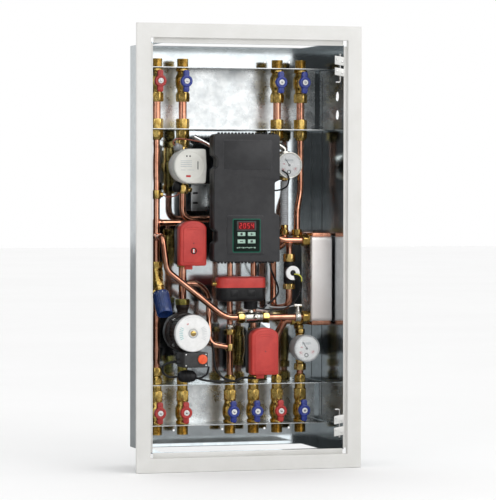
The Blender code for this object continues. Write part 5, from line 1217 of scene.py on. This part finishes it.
piece("coverLatches", [block((x, split - 0.0115, z - 0.0034), (x + 0.0052, split - 0.001, z + 0.0034), 0.0012) for x in bumps
                       for z in (cb - 0.0006, ct + 0.0006)], look["blackCase"], "controller_cover", replaced=False)
# A dark disc at the cover's hole: painted shade in the hole.
piece("coverHoleShade", [roundLathe([(0, -0.001), (0.0021, -0.001), (0.0021, 0.0002), (0, 0.0002)], 0.0001, (cl + 0.0105, front, 0.183), (0, -1, 0), 20)],
      look["inkDark"], "controller_cover", replaced=False)
# Dark rings round the raised areas: painted shade in the grooves there.
grooveShade = pierced(rectangle(-0.0562, 0.0507, -0.0212, 0.0882, 0.009, 6), [padOutline], front + 0.0004, front - 0.0002, 0.0001)
outerPanel = rectangle(cl + 0.0265, cr - 0.0225, 0.210, 0.291, 0.0038, 4)
grooveShade += pierced(outerPanel, [rectangle(cl + 0.0275, cr - 0.0235, 0.211, 0.290, 0.003, 3)], front + 0.0004, front - 0.0002, 0.0001)
piece("coverGrooveShade", grooveShade, look["inkDark"], "controller_cover", replaced=False)
panelFront = caseLow[1] - 0.0004
piece("keypadBorder", pierced(rectangle(-0.0390, 0.0400, -0.0135, 0.0780, 0.0045, 5), keyHoles, caseLow[1] + 0.0004, panelFront, 0.0002),
      look["panelEdge"], "controller_cover", replaced=False)
piece("keypadPanel", pierced(rectangle(-0.0365, 0.0375, -0.0110, 0.0755, 0.0035, 5), keyHoles, panelFront + 0.0002, panelFront - 0.0002, 0.0001),
      look["panelGreen"], "controller_cover", replaced=False)
panelFront -= 0.0002
piece("displayRim", [plate(rectangle(-0.0270, 0.0275, 0.0455, 0.0715, 0.0012, 3), panelFront + 0.0001, panelFront - 0.0003, 0.0002)],
      look["boxGrey"], "controller_cover", replaced=False)
piece("displayGlass", [plate(rectangle(-0.0225, 0.0230, 0.0490, 0.0685, 0.0006, 2), panelFront, panelFront - 0.0005, 0.0001)],
      look["displayRed"], "controller_cover", replaced=False)
# Seven-bar figures: each bar is given by its middle and whether it lies flat.
bars = [(0, 1, True), (-1, 0.5, False), (1, 0.5, False), (0, 0, True), (-1, -0.5, False), (1, -0.5, False), (0, -1, True)]
figures = {"2": (0, 2, 3, 4, 6), "0": (0, 1, 2, 4, 5, 6), "5": (0, 1, 3, 5, 6), "4": (1, 2, 3, 5)}
lit = []
for k, figure in enumerate("2054"):
    fx = -0.0165 + k * 0.0112
    for bar in figures[figure]:
        a, b, flatBar = bars[bar]
        x, z = fx + a * 0.0027, 0.05875 + b * 0.0062
        w, h = (0.0022, 0.0006) if flatBar else (0.0006, 0.0026)
        lit.append(block((x - w, panelFront - 0.0007, z - h), (x + w, panelFront - 0.0003, z + h), 0.00015, 1))
piece("displayFigures", lit, look["glow"], "controller_cover", replaced=False)
piece("panelLine", [block((-0.0270 + k * 0.0054, panelFront - 0.0002, -0.0020 + 0.0007 * (k % 3)), (-0.0230 + k * 0.0054, panelFront + 0.0002, 0.0006 + 0.0007 * (k % 2)), 0.0001, 1)
                    for k in range(10)], look["keyPale"], "controller_cover", replaced=False)
for k, (x, z) in enumerate(keyPlaces):
    node = f"key_{k + 1}"
    keyFront, keyBack = low(node)[1], high(node)[1]
    cap = plate(rectangle(x - 0.0108, x + 0.0108, z - 0.0052, z + 0.0052, 0.0014, 4), keyFront + 0.0045, keyFront, 0.0008, steps=3)
    neck = block((x - 0.0100, keyFront + 0.0040, z - 0.0044), (x + 0.0100, keyBack - 0.0010, z + 0.0044), 0.0004)
    foot = block((x - 0.0130, keyBack - 0.0012, z - 0.0074), (x + 0.0130, keyBack, z + 0.0074), 0.0003)
    piece(f"keyCap{k + 1}", [cap, neck, foot], look["keyPale"], node)
    ink = [plate(circle(x, z, 0.0036, 20), keyFront + 0.0002, keyFront - 0.0002, 0.0001)] if k == 0 else [
        block((x - w, keyFront - 0.0002, z - h), (x + w, keyFront + 0.0002, z + h), 0.0001, 1)
        for w, h in ([(0.0048, 0.0009), (0.0009, 0.0036)] if k == 1 else [(0.0044, 0.0011)] if k == 2 else [(0.0034, 0.0030)])]
    piece(f"keySign{k + 1}", ink, look["inkDark"], node, replaced=False)

caseBack = [plate(caseOutline, backHigh[1] if backHigh[1] < -0.1 else -0.160, backLow[1], 0.0006, backEdge=0.0040, steps=4)]
caseBack += [block((cl + 0.014 + k * 0.0240, backLow[1] + 0.004, ct - 0.001), (cl + 0.022 + k * 0.0240, -0.166, ct + 0.0010), 0.0008) for k in range(7)]
caseBack.append(block((cl - 0.0004, backLow[1] + 0.006, 0.060), (cl + 0.0035, -0.168, 0.200), 0.0012))
piece("controllerBack", caseBack, look["blackCase"], "controller_back")
bracketX = cl - 0.020
bracket = [plate(rectangle(bracketX, cl + 0.028, 0.098, 0.172, 0.003, 3), -0.0500, -0.0520, 0.0004),
           block((cl + 0.026, -0.160, 0.110), (cl + 0.028, -0.0018, 0.172), 0.0004)]
piece("controllerBracket", bracket, look["railZinc"], "controller_back", replaced=False)
# Dark plates on the bracket's two slots: painted shade in the slots.
piece("bracketSlotShade", [plate(softened([(bracketX + 0.004, z - 0.003), (bracketX + 0.019, z - 0.003), (bracketX + 0.019, z + 0.003), (bracketX + 0.004, z + 0.003)],
                                      [0.0029] * 4, 4, closed=True), -0.0518, -0.0524, 0.0001) for z in (0.120, 0.147)],
      look["inkDark"], "controller_back", replaced=False)
print("controller made")

# Flow sensor: black turbine housing, its white clamp ring with a gap, brass nuts, and the leads.
sensorX = middle("flow_sensor")[0]
at = (sensorX, frontY, 0)
piece("flowSensorBody", [roundLathe([(0, -0.0405), (0.0135, -0.0405), (0.0150, -0.048), (0.0150, -0.094), (0.0135, -0.1015), (0, -0.1015)], 0.002, at, sides=36),
                         roundLathe([(0, 0.008), (0.0190, 0.008), (0.0190, 0.0300), (0.0150, 0.0305), (0.0150, 0.0340), (0, 0.0340)], 0.001,
                                    (sensorX, frontY, -0.071), (0, -1, 0), 48),
                         roundLathe([(0, 0.030), (0.0062, 0.030), (0.0062, 0.0370), (0, 0.0372)], 0.001, (sensorX, frontY, -0.071), (0, -1, 0), 28)],
      look["blackCase"], "flow_sensor")
piece("flowSensorNuts", [hexNut(0.0170, -0.0410, -0.0193, at, turn=0.2), hexNut(0.0170, -0.1165, -0.1010, at, turn=0.35)], look["brightBrass"], "flow_sensor")
a = np.linspace(math.radians(-20), math.radians(285), 40)
gapRing = np.vstack([np.stack([sensorX + 0.0195 * np.cos(a), -0.071 + 0.0195 * np.sin(a)], -1),
                     np.stack([sensorX + 0.0078 * np.cos(a[::-1]), -0.071 + 0.0078 * np.sin(a[::-1])], -1)])
piece("flowSensorRing", [plate(gapRing, frontY - 0.0302, frontY - 0.0380, 0.0012, steps=3)], look["labelWhite"], "flow_sensor", replaced=False)
piece("sensorEarth", [tube(flowing([(sensorX + 0.004, frontY - 0.0372, -0.074), (sensorX + 0.013, -0.171, -0.075), (sensorX + 0.022, -0.170, -0.083),
                                    (sensorX + 0.024, -0.166, -0.094)], 8), 0.0017, 10)], look["earthLead"], "flow_sensor", replaced=False)
piece("sensorLead", [tube(flowing([(sensorX + 0.024, -0.166, -0.092), (sensorX + 0.0255, -0.158, -0.112), (sensorX + 0.016, -0.150, -0.140),
                                   (sensorX + 0.001, -0.149, -0.157), (sensorX - 0.024, -0.148, -0.169), (sensorX - 0.060, -0.140, -0.172),
                                   (sensorX - 0.095, -0.128, -0.166)], 8), 0.0021, 10)], look["rubber"], "flow_sensor", replaced=False)
piece("blackLoopLead", [tube(flowing([(0.094, -0.1215, -0.046), (0.100, -0.118, -0.066), (0.110, -0.110, -0.084), (0.1215, -0.106, -0.108), (0.1215, -0.106, -0.130),
                                      (0.104, -0.112, -0.148), (0.086, -0.122, -0.158), (0.074, -0.127, -0.168)], 8), 0.0026, 10)],
      look["rubber"], "flow_sensor", replaced=False)
tapX = exchangerLeft - 0.0315
piece("pressureTap", [roundLathe([(0, -0.009), (0.0125, -0.009), (0.0135, -0.006), (0.0125, -0.003), (0.0125, 0.001), (0.0135, 0.004), (0.0125, 0.0075), (0, 0.0075)],
                                 0.001, (tapX, frontY, middleZ), (1, 0, 0), 36),
                      roundLathe([(0, 0.008), (0.0060, 0.008), (0.0060, 0.0200), (0.0042, 0.0215), (0.0042, 0.0300), (0, 0.0300)], 0.001, (tapX, frontY, middleZ)),
                      roundLathe([(0, -0.0110), (0.0048, -0.0110), (0.0048, 0.0110), (0, 0.0110)], 0.001, (tapX, frontY, middleZ + 0.0315), (1, 0, 0), 28)],
      look["nickel"], "middle_valve", replaced=False)
piece("capillary", [tube(flowing([(tapX - 0.010, frontY, middleZ + 0.0315), (tapX - 0.028, frontY - 0.004, middleZ + 0.0285), (tapX - 0.060, -0.136, middleZ + 0.0270),
                                  (tapX - 0.084, -0.139, middleZ + 0.0300), (0.079, -0.141, middleZ + 0.037)], 8), 0.0018, 10)],
      look["leadGrey"], "middle_valve", replaced=False)


# Water meter head: housing, white face sunk in it, marks, a hand, and a clear lid.
def dialPieces(node, prefix, x, z, radius, reach, housing, steps=64):
    centre = (x, valveY, z)
    front = reach - 0.0030
    body = [roundLathe([(0, 0.004), (0.030, 0.004), (0.033, 0.010), (radius, 0.030 if reach > 0.06 else 0.026), (radius, front), (radius - 0.0030, front),
                        (radius - 0.0030, front - 0.0045), (0, front - 0.0045)], 0.0010, centre, (0, -1, 0), steps)]
    piece(prefix + "Housing", body, look[housing], node, replaced=False)
    faceRadius = radius - 0.0034
    face = front - 0.0040
    piece(prefix + "Face", [roundLathe([(0, face - 0.001), (faceRadius, face - 0.001), (faceRadius, face), (0, face)], 0.0002, centre, (0, -1, 0), steps)],
          look["labelWhite"], node, replaced=False)
    y = valveY - face
    ticks = []
    for k in range(40):
        tick = block((x + faceRadius - (0.0042 if k % 5 == 0 else 0.0026), y - 0.0002, z - 0.00025), (x + faceRadius - 0.0012, y + 0.0002, z + 0.00025), 0.0001, 1)
        ticks.append(turnedBy(tick, 2 * math.pi * k / 40, (0, -1, 0), (x, y, z)))
    ticks += [block((x - 0.0135 + k * 0.0052, y - 0.0003, z + 0.0105), (x - 0.0093 + k * 0.0052, y + 0.0002, z + 0.0165), 0.0002, 1) for k in range(5)]
    ticks += [block((x + a - 0.0020, y - 0.0002, z + b), (x + a + 0.0020, y + 0.0002, z + b + 0.0008), 0.0001, 1)
              for a, b in ((-0.010, 0.0210), (0.0, 0.0225), (0.0095, 0.0205), (0.008, -0.0035), (-0.006, -0.0255), (0.0075, -0.0250))]
    piece(prefix + "Marks", ticks, look["inkGrey"], node, replaced=False)
    small = []
    for a, b, r in ((-0.0165, -0.0130, 0.0048), (0.0170, -0.0105, 0.0048)):
        small.append(plate(circle(x + a, z + b, r * 0.42, 16), y + 0.0002, y - 0.0004, 0.0001))
        small.append(turnedBy(block((x + a - 0.0008, y - 0.0005, z + b), (x + a + 0.0008, y - 0.0001, z + b + r), 0.0001, 1), 0.8 * a / abs(a), (0, 1, 0), (x + a, y, z + b)))
        small.append(lathe(softened([(r, 0), (r + 0.0006, 0), (r + 0.0006, 0.0003), (r, 0.0003)], 0.0001, 1, closed=True), (x + a, y, z + b), (0, -1, 0), 24, ringed=True))
    small += [block((x - 0.0180, y - 0.0003, z + 0.0020), (x - 0.0120, y + 0.0002, z + 0.0045), 0.0002, 1)]
    piece(prefix + "RedMarks", small, look["inkRed"], node, replaced=False)
    hand = turnedBy(block((x - 0.0013, y - 0.0012, z - 0.0040), (x + 0.0013, y - 0.0006, z + 0.0215), 0.0003, 1), math.radians(-33), (0, 1, 0), (x, y, z))
    hub = roundLathe([(0, -0.0002), (0.0034, -0.0002), (0.0030, 0.0016), (0, 0.0016)], 0.0003, (x, y, z), (0, -1, 0), 24)
    star = lathe(softened([(0.0034, 0), (0.0062, 0), (0.0062, 0.0006), (0.0034, 0.0006)], 0.0002, 1, closed=True), (x - 0.001, y, z - 0.0185), (0, -1, 0), 32, ringed=True)
    piece(prefix + "Hand", [hand, hub, star], look["inkDark"], node, replaced=False)
    lid = roundLathe([(0, front - 0.0012), (faceRadius, front - 0.0012), (faceRadius, front + 0.0006), (0.012, front + 0.0028), (0, front + 0.0030)], 0.0004, centre, (0, -1, 0), steps)
    piece(prefix + "Lid", [lid], look["clear"], node, replaced=False)


upperX, upperZ = 0.150, 0.224
at = (upperX, valveY, 0)
neckPath = softened([(x5, valveY, topEnd), (x5, valveY, 0.283), (upperX, valveY, 0.270), (upperX, valveY, 0.2600)], 0.008, 5)
piece("upperMeterBrass", [hexNut(0.0165, 0.183, 0.198, at, turn=0.2), roundLathe([(0, 0.196), (0.0125, 0.196), (0.0135, 0.212), (0.0135, 0.236), (0.0125, 0.250), (0, 0.250)],
                                                                                 0.002, at),
                          hexNut(0.0125, 0.032, 0.0465, at, turn=0.3), roundLathe([(0, 0.0460), (0.0108, 0.0460), (0.0108, 0.060), (0, 0.060)], 0.0015, at)],
      look["brightBrass"], "water_meter_upper")
piece("upperMeterNickel", [tube(neckPath, 0.0088, 24), hexNut(0.0165, 0.249, 0.2625, at, turn=0.1), hexNut(0.0150, 0.2840, topEnd, (x5, valveY, 0), turn=0.2)],
      look["nickel"], "water_meter_upper")
ripple = np.linspace(0.0600, 0.1800, 140)
sleeve = [(0.0, 0.0600)] + [(0.0112 + 0.0006 * math.cos((h - 0.06) / 0.12 * 2 * math.pi * 20), h) for h in ripple] + [(0.0, 0.1800)]
piece("upperMeterSleeve", [lathe(sleeve, at, sides=32)], look["foamGrey"], "water_meter_upper")
dialPieces("water_meter_upper", "upperMeter", upperX, upperZ, 0.0360, 0.052, "nickel")
piece("meterStrap", [tube(flowing([(upperX - 0.024, -0.1285, 0.210), (upperX - 0.010, -0.1295, 0.2005), (upperX - 0.0035, -0.126, 0.188), (upperX - 0.005, -0.118, 0.168),
                                   (upperX - 0.020, -0.112, 0.1575), (upperX - 0.040, -0.110, 0.154)], 8), 0.0022, 10)], look["rubber"], "water_meter_upper", replaced=False)
at = (x6, valveY, 0)
piece("lowerMeterBrass", [hexNut(0.0140, -0.2405, high("water_meter_lower")[2] if high("water_meter_lower")[2] < -0.2 else -0.2285, at, turn=0.1),
                          roundLathe([(0, -0.240), (0.0120, -0.240), (0.0130, -0.252), (0.0130, -0.306), (0.0115, -0.324), (0, -0.324)], 0.003, at),
                          hexNut(0.0170, -0.3420, -0.3235, at, turn=0.3)], look["brightBrass"], "water_meter_lower")
piece("lowerMeterPipe", [lathe([(0, -0.340), (0.0095, -0.340), (0.0095, lowEnd), (0, lowEnd)], at, sides=28)], look["copper"], "water_meter_lower")
dialPieces("water_meter_lower", "lowerMeter", x6 - 0.002, -0.279, 0.0370, 0.075, "leadGrey")
print("meters and flow sensor made")

# Third riser: check valve, nut, copper pipe and the thin mixing pipe with its clip.
at = (x3, valveY, 0)
piece("checkValve", [roundLathe([(0, high("mixing_riser")[2] if high("mixing_riser")[2] < -0.2 else -0.2138), (0.0120, -0.2138), (0.0128, -0.2200), (0.0120, -0.2280), (0, -0.2280)],
                                0.0012, at, sides=36)], look["nickel"], "mixing_riser")
piece("checkValveNut", [hexNut(0.0165, -0.2414, -0.2274, at, turn=0.25), hexNut(0.0125, -0.2860, -0.2680, at, turn=0.1)], look["brightBrass"], "mixing_riser")
mixPath = softened([(x3, valveY, -0.277), (x3 - 0.058, valveY, -0.266), (x3 - 0.058, -0.062, -0.130), (x3 - 0.090, valveY, -0.100),
                    (x1 + 0.0113, valveY, -0.100)], 0.022, 6)
piece("mixingPipe", [tube(mixPath, 0.0075, 24), lathe([(0, -0.241), (pipeRadius, -0.241), (pipeRadius, lowEnd), (0, lowEnd)], at, sides=28)], look["copper"], "mixing_riser")
piece("mixingClip", [roundLathe([(0, -0.007), (0.0098, -0.007), (0.0098, 0.007), (0, 0.007)], 0.001, (x3 - 0.0585, -0.0635, -0.148), (0, -0.1, 1), 28),
                     block((x3 - 0.071, -0.079, -0.153), (x3 - 0.059, -0.068, -0.143), 0.001)], look["blackCase"], "mixing_riser", replaced=False)

# Pump lead, junction and the lead on to the right-hand motor: one sheathed cable, thicker at the junction.
boxAt, knotAt = low("pump_terminal_box"), np.array([-0.147, -0.142, -0.350])
first = softened([(boxAt[0] - 0.0003, -0.143, pumpZ - 0.078), (boxAt[0] - 0.022, -0.143, pumpZ - 0.078), (-0.215, -0.143, -0.318), (-0.217, -0.143, -0.338),
                  (-0.200, -0.143, -0.352), knotAt - [0.014, 0, 0]], 0.012, 5)
second = softened([knotAt + [0.014, 0, 0], (-0.100, -0.143, -0.3620), (-0.060, -0.140, -0.3665), (-0.010, -0.140, -0.3660), (0.010, -0.141, -0.356),
                   (x4 - 0.010, -0.150, low("actuator_right")[2] - 0.0003)], 0.012, 5)
knot = roundLathe([(0, -0.026), (0.008, -0.026), (0.0150, -0.018), (0.0175, 0.0), (0.0150, 0.018), (0.008, 0.026), (0, 0.026)], 0.003, knotAt, (1, 0, 0), 36)
knotRings = [lathe(softened([(0.0168, h), (0.0180, h + 0.0008), (0.0168, h + 0.0016), (0.0155, h + 0.0008)], 0.0003, 2, closed=True), knotAt, (1, 0, 0), 36, ringed=True)
             for h in (-0.0060, 0.0, 0.0044)]
piece("powerLead", [tube(first, 0.0032, 14), tube(second, 0.0030, 14), knot] + knotRings, look["rubber"], "power_lead")

piece("extraLeads", [tube(flowing([(-0.086, -0.143, pumpZ - 0.0930), (-0.0885, -0.146, -0.334), (-0.0920, -0.147, -0.3435), (-0.1045, -0.146, -0.3530),
                                   (-0.1180, -0.144, -0.3560), knotAt + [0.022, -0.002, -0.004]], 8), 0.0028, 12),
                     tube(flowing([(-0.0700, -0.118, -0.262), (-0.0700, -0.132, -0.2810), (-0.0685, -0.137, -0.3100), (-0.0637, -0.138, -0.3342),
                                   (-0.0509, -0.139, -0.3503), (-0.0330, -0.140, -0.3610), (-0.0120, -0.140, -0.3655)], 8), 0.0029, 12)],
      look["rubber"], "power_lead", replaced=False)

# Right-hand wall: a dark strip near the back, painted shade for the shadow line there, and the folded tab beside the
# lower meter.
wallX = high("cabinet_box")[0] - 0.0012
piece("wallSlot", [plate(rectangle(-0.0500, -0.0455, -0.470, 0.470, 0.001, 2), wallX - 0.0001, wallX - 0.0005, 0.0001, "yz")], look["inkDark"],
      "cabinet_box", replaced=False)
tabOutline = softened([(0.083, -0.236), (0.118, -0.236), (0.113, -0.207), (0.088, -0.207)], [0.002] * 4, 3, closed=True)
piece("pipeTab", [plate(tabOutline, -0.056, -0.0575, 0.0003), block((0.098, -0.0572, -0.226), (0.1000, -0.0018, -0.212), 0.0003)], look["zinc"], "cabinet_box",
      replaced=False)
print("riser, lead and wall details made")

# Pale floor, soft studio light and the camera.
floorMesh = bpy.data.meshes.new("floor")
floorMesh.from_pydata([(-30, -30, cadLow[2] - 0.0005), (30, -30, cadLow[2] - 0.0005), (30, 30, cadLow[2] - 0.0005),
                       (-30, 30, cadLow[2] - 0.0005)], [], [(0, 1, 2, 3)])
floor = bpy.data.objects.new("floor", floorMesh)
bpy.context.scene.collection.objects.link(floor)
floorLook = bpy.data.materials.new("floorPaint")
floorLook.use_nodes = True
floorTree = floorLook.node_tree
floorShader = floorTree.nodes["Principled BSDF"]
floorTone = make(floorTree, "ShaderNodeGroup", {"node_tree": cloud}, Scale=0.8, Low=0.95, High=0.97)
# Painted shade: for glossy rays the floor's colour is darkened to 0.30 of itself, so in the polished sheet the floor
# looks darker, as a studio floor outside its lamp's pool of light would.
floorRays = floorTree.nodes.new("ShaderNodeLightPath")
floorReflectedShade = make(floorTree, "ShaderNodeMapRange", Value=floorRays.outputs["Is Glossy Ray"], To_Min=1.0, To_Max=0.30)
floorColour = make(floorTree, "ShaderNodeMath", {"operation": "MULTIPLY"}, in0=floorTone.outputs[0], in1=floorReflectedShade.outputs[0])
floorTree.links.new(floorColour.outputs[0], floorShader.inputs["Base Color"])
floorShader.inputs["Roughness"].default_value = 0.8
floorMesh.materials.append(floorLook)

studio = dict(seenWorld=1.0, dimSide=0.05, brightSide=1.75, behind=0.75)
world = bpy.data.worlds.new("studio")
bpy.context.scene.world = world
world.use_nodes = True
worldTree = world.node_tree
background = worldTree.nodes["Background"]
direction = make(worldTree, "ShaderNodeSeparateXYZ", Vector=worldTree.nodes.new("ShaderNodeTexCoord").outputs["Generated"])
# Reflections see a bright wall to the front right, a dim one to the front left and an even one behind; the eye
# sees plain white.
sideways = make(worldTree, "ShaderNodeMapRange", {"interpolation_type": "SMOOTHSTEP"}, Value=direction.outputs["X"],
                From_Min=-0.28, From_Max=0.12, To_Min=studio["dimSide"], To_Max=studio["brightSide"])
rearward = make(worldTree, "ShaderNodeMapRange", {"interpolation_type": "SMOOTHSTEP"}, Value=direction.outputs["Y"],
                From_Min=0.0, From_Max=0.25)
allRound = make(worldTree, "ShaderNodeMix", {"data_type": "FLOAT"}, Factor=rearward.outputs[0])
worldTree.links.new(sideways.outputs[0], allRound.inputs[2])
allRound.inputs[3].default_value = studio["behind"]
rays = worldTree.nodes.new("ShaderNodeLightPath")
strength = make(worldTree, "ShaderNodeMix", {"data_type": "FLOAT"}, Factor=rays.outputs["Is Glossy Ray"])
strength.inputs[2].default_value = studio["seenWorld"]
worldTree.links.new(allRound.outputs[0], strength.inputs[3])
worldTree.links.new(strength.outputs[0], background.inputs["Strength"])
background.inputs["Color"].default_value = (1, 1, 1, 1)


# A soft area light aimed at a point.
def softLight(name, place, target, size, power, colour=(1, 1, 1)):
    data = bpy.data.lights.new(name, "AREA")
    data.shape, data.size, data.size_y = "RECTANGLE", size[0], size[1]
    data.energy, data.color = power, colour
    light = bpy.data.objects.new(name, data)
    bpy.context.scene.collection.objects.link(light)

    light.location = place
    light.rotation_euler = (Vector(target) - Vector(place)).to_track_quat("-Z", "Y").to_euler()
    return light


softLight("keyLight", (1.4, -3.4, 2.2), (0, 0, 0), (1.8, 2.2), 18)
softLight("fillLight", (-2.6, -3.2, 0.9), (0, 0, 0), (0.9, 2.0), 8)

cameraData = bpy.data.cameras.new("camera")
cameraData.lens = 204.1
cameraData.sensor_width = 36
cameraData.clip_end = 100
camera = bpy.data.objects.new("camera", cameraData)
bpy.context.scene.collection.objects.link(camera)
camera.location = (-2.1916, -7.5508, 0.1472)
camera.rotation_euler = (math.radians(88.85), math.radians(-0.08), math.radians(-16.657))
bpy.context.scene.camera = camera
bpy.context.scene.view_settings.view_transform = "Standard"
print("stage, light and camera made;", len(shown), "pieces")
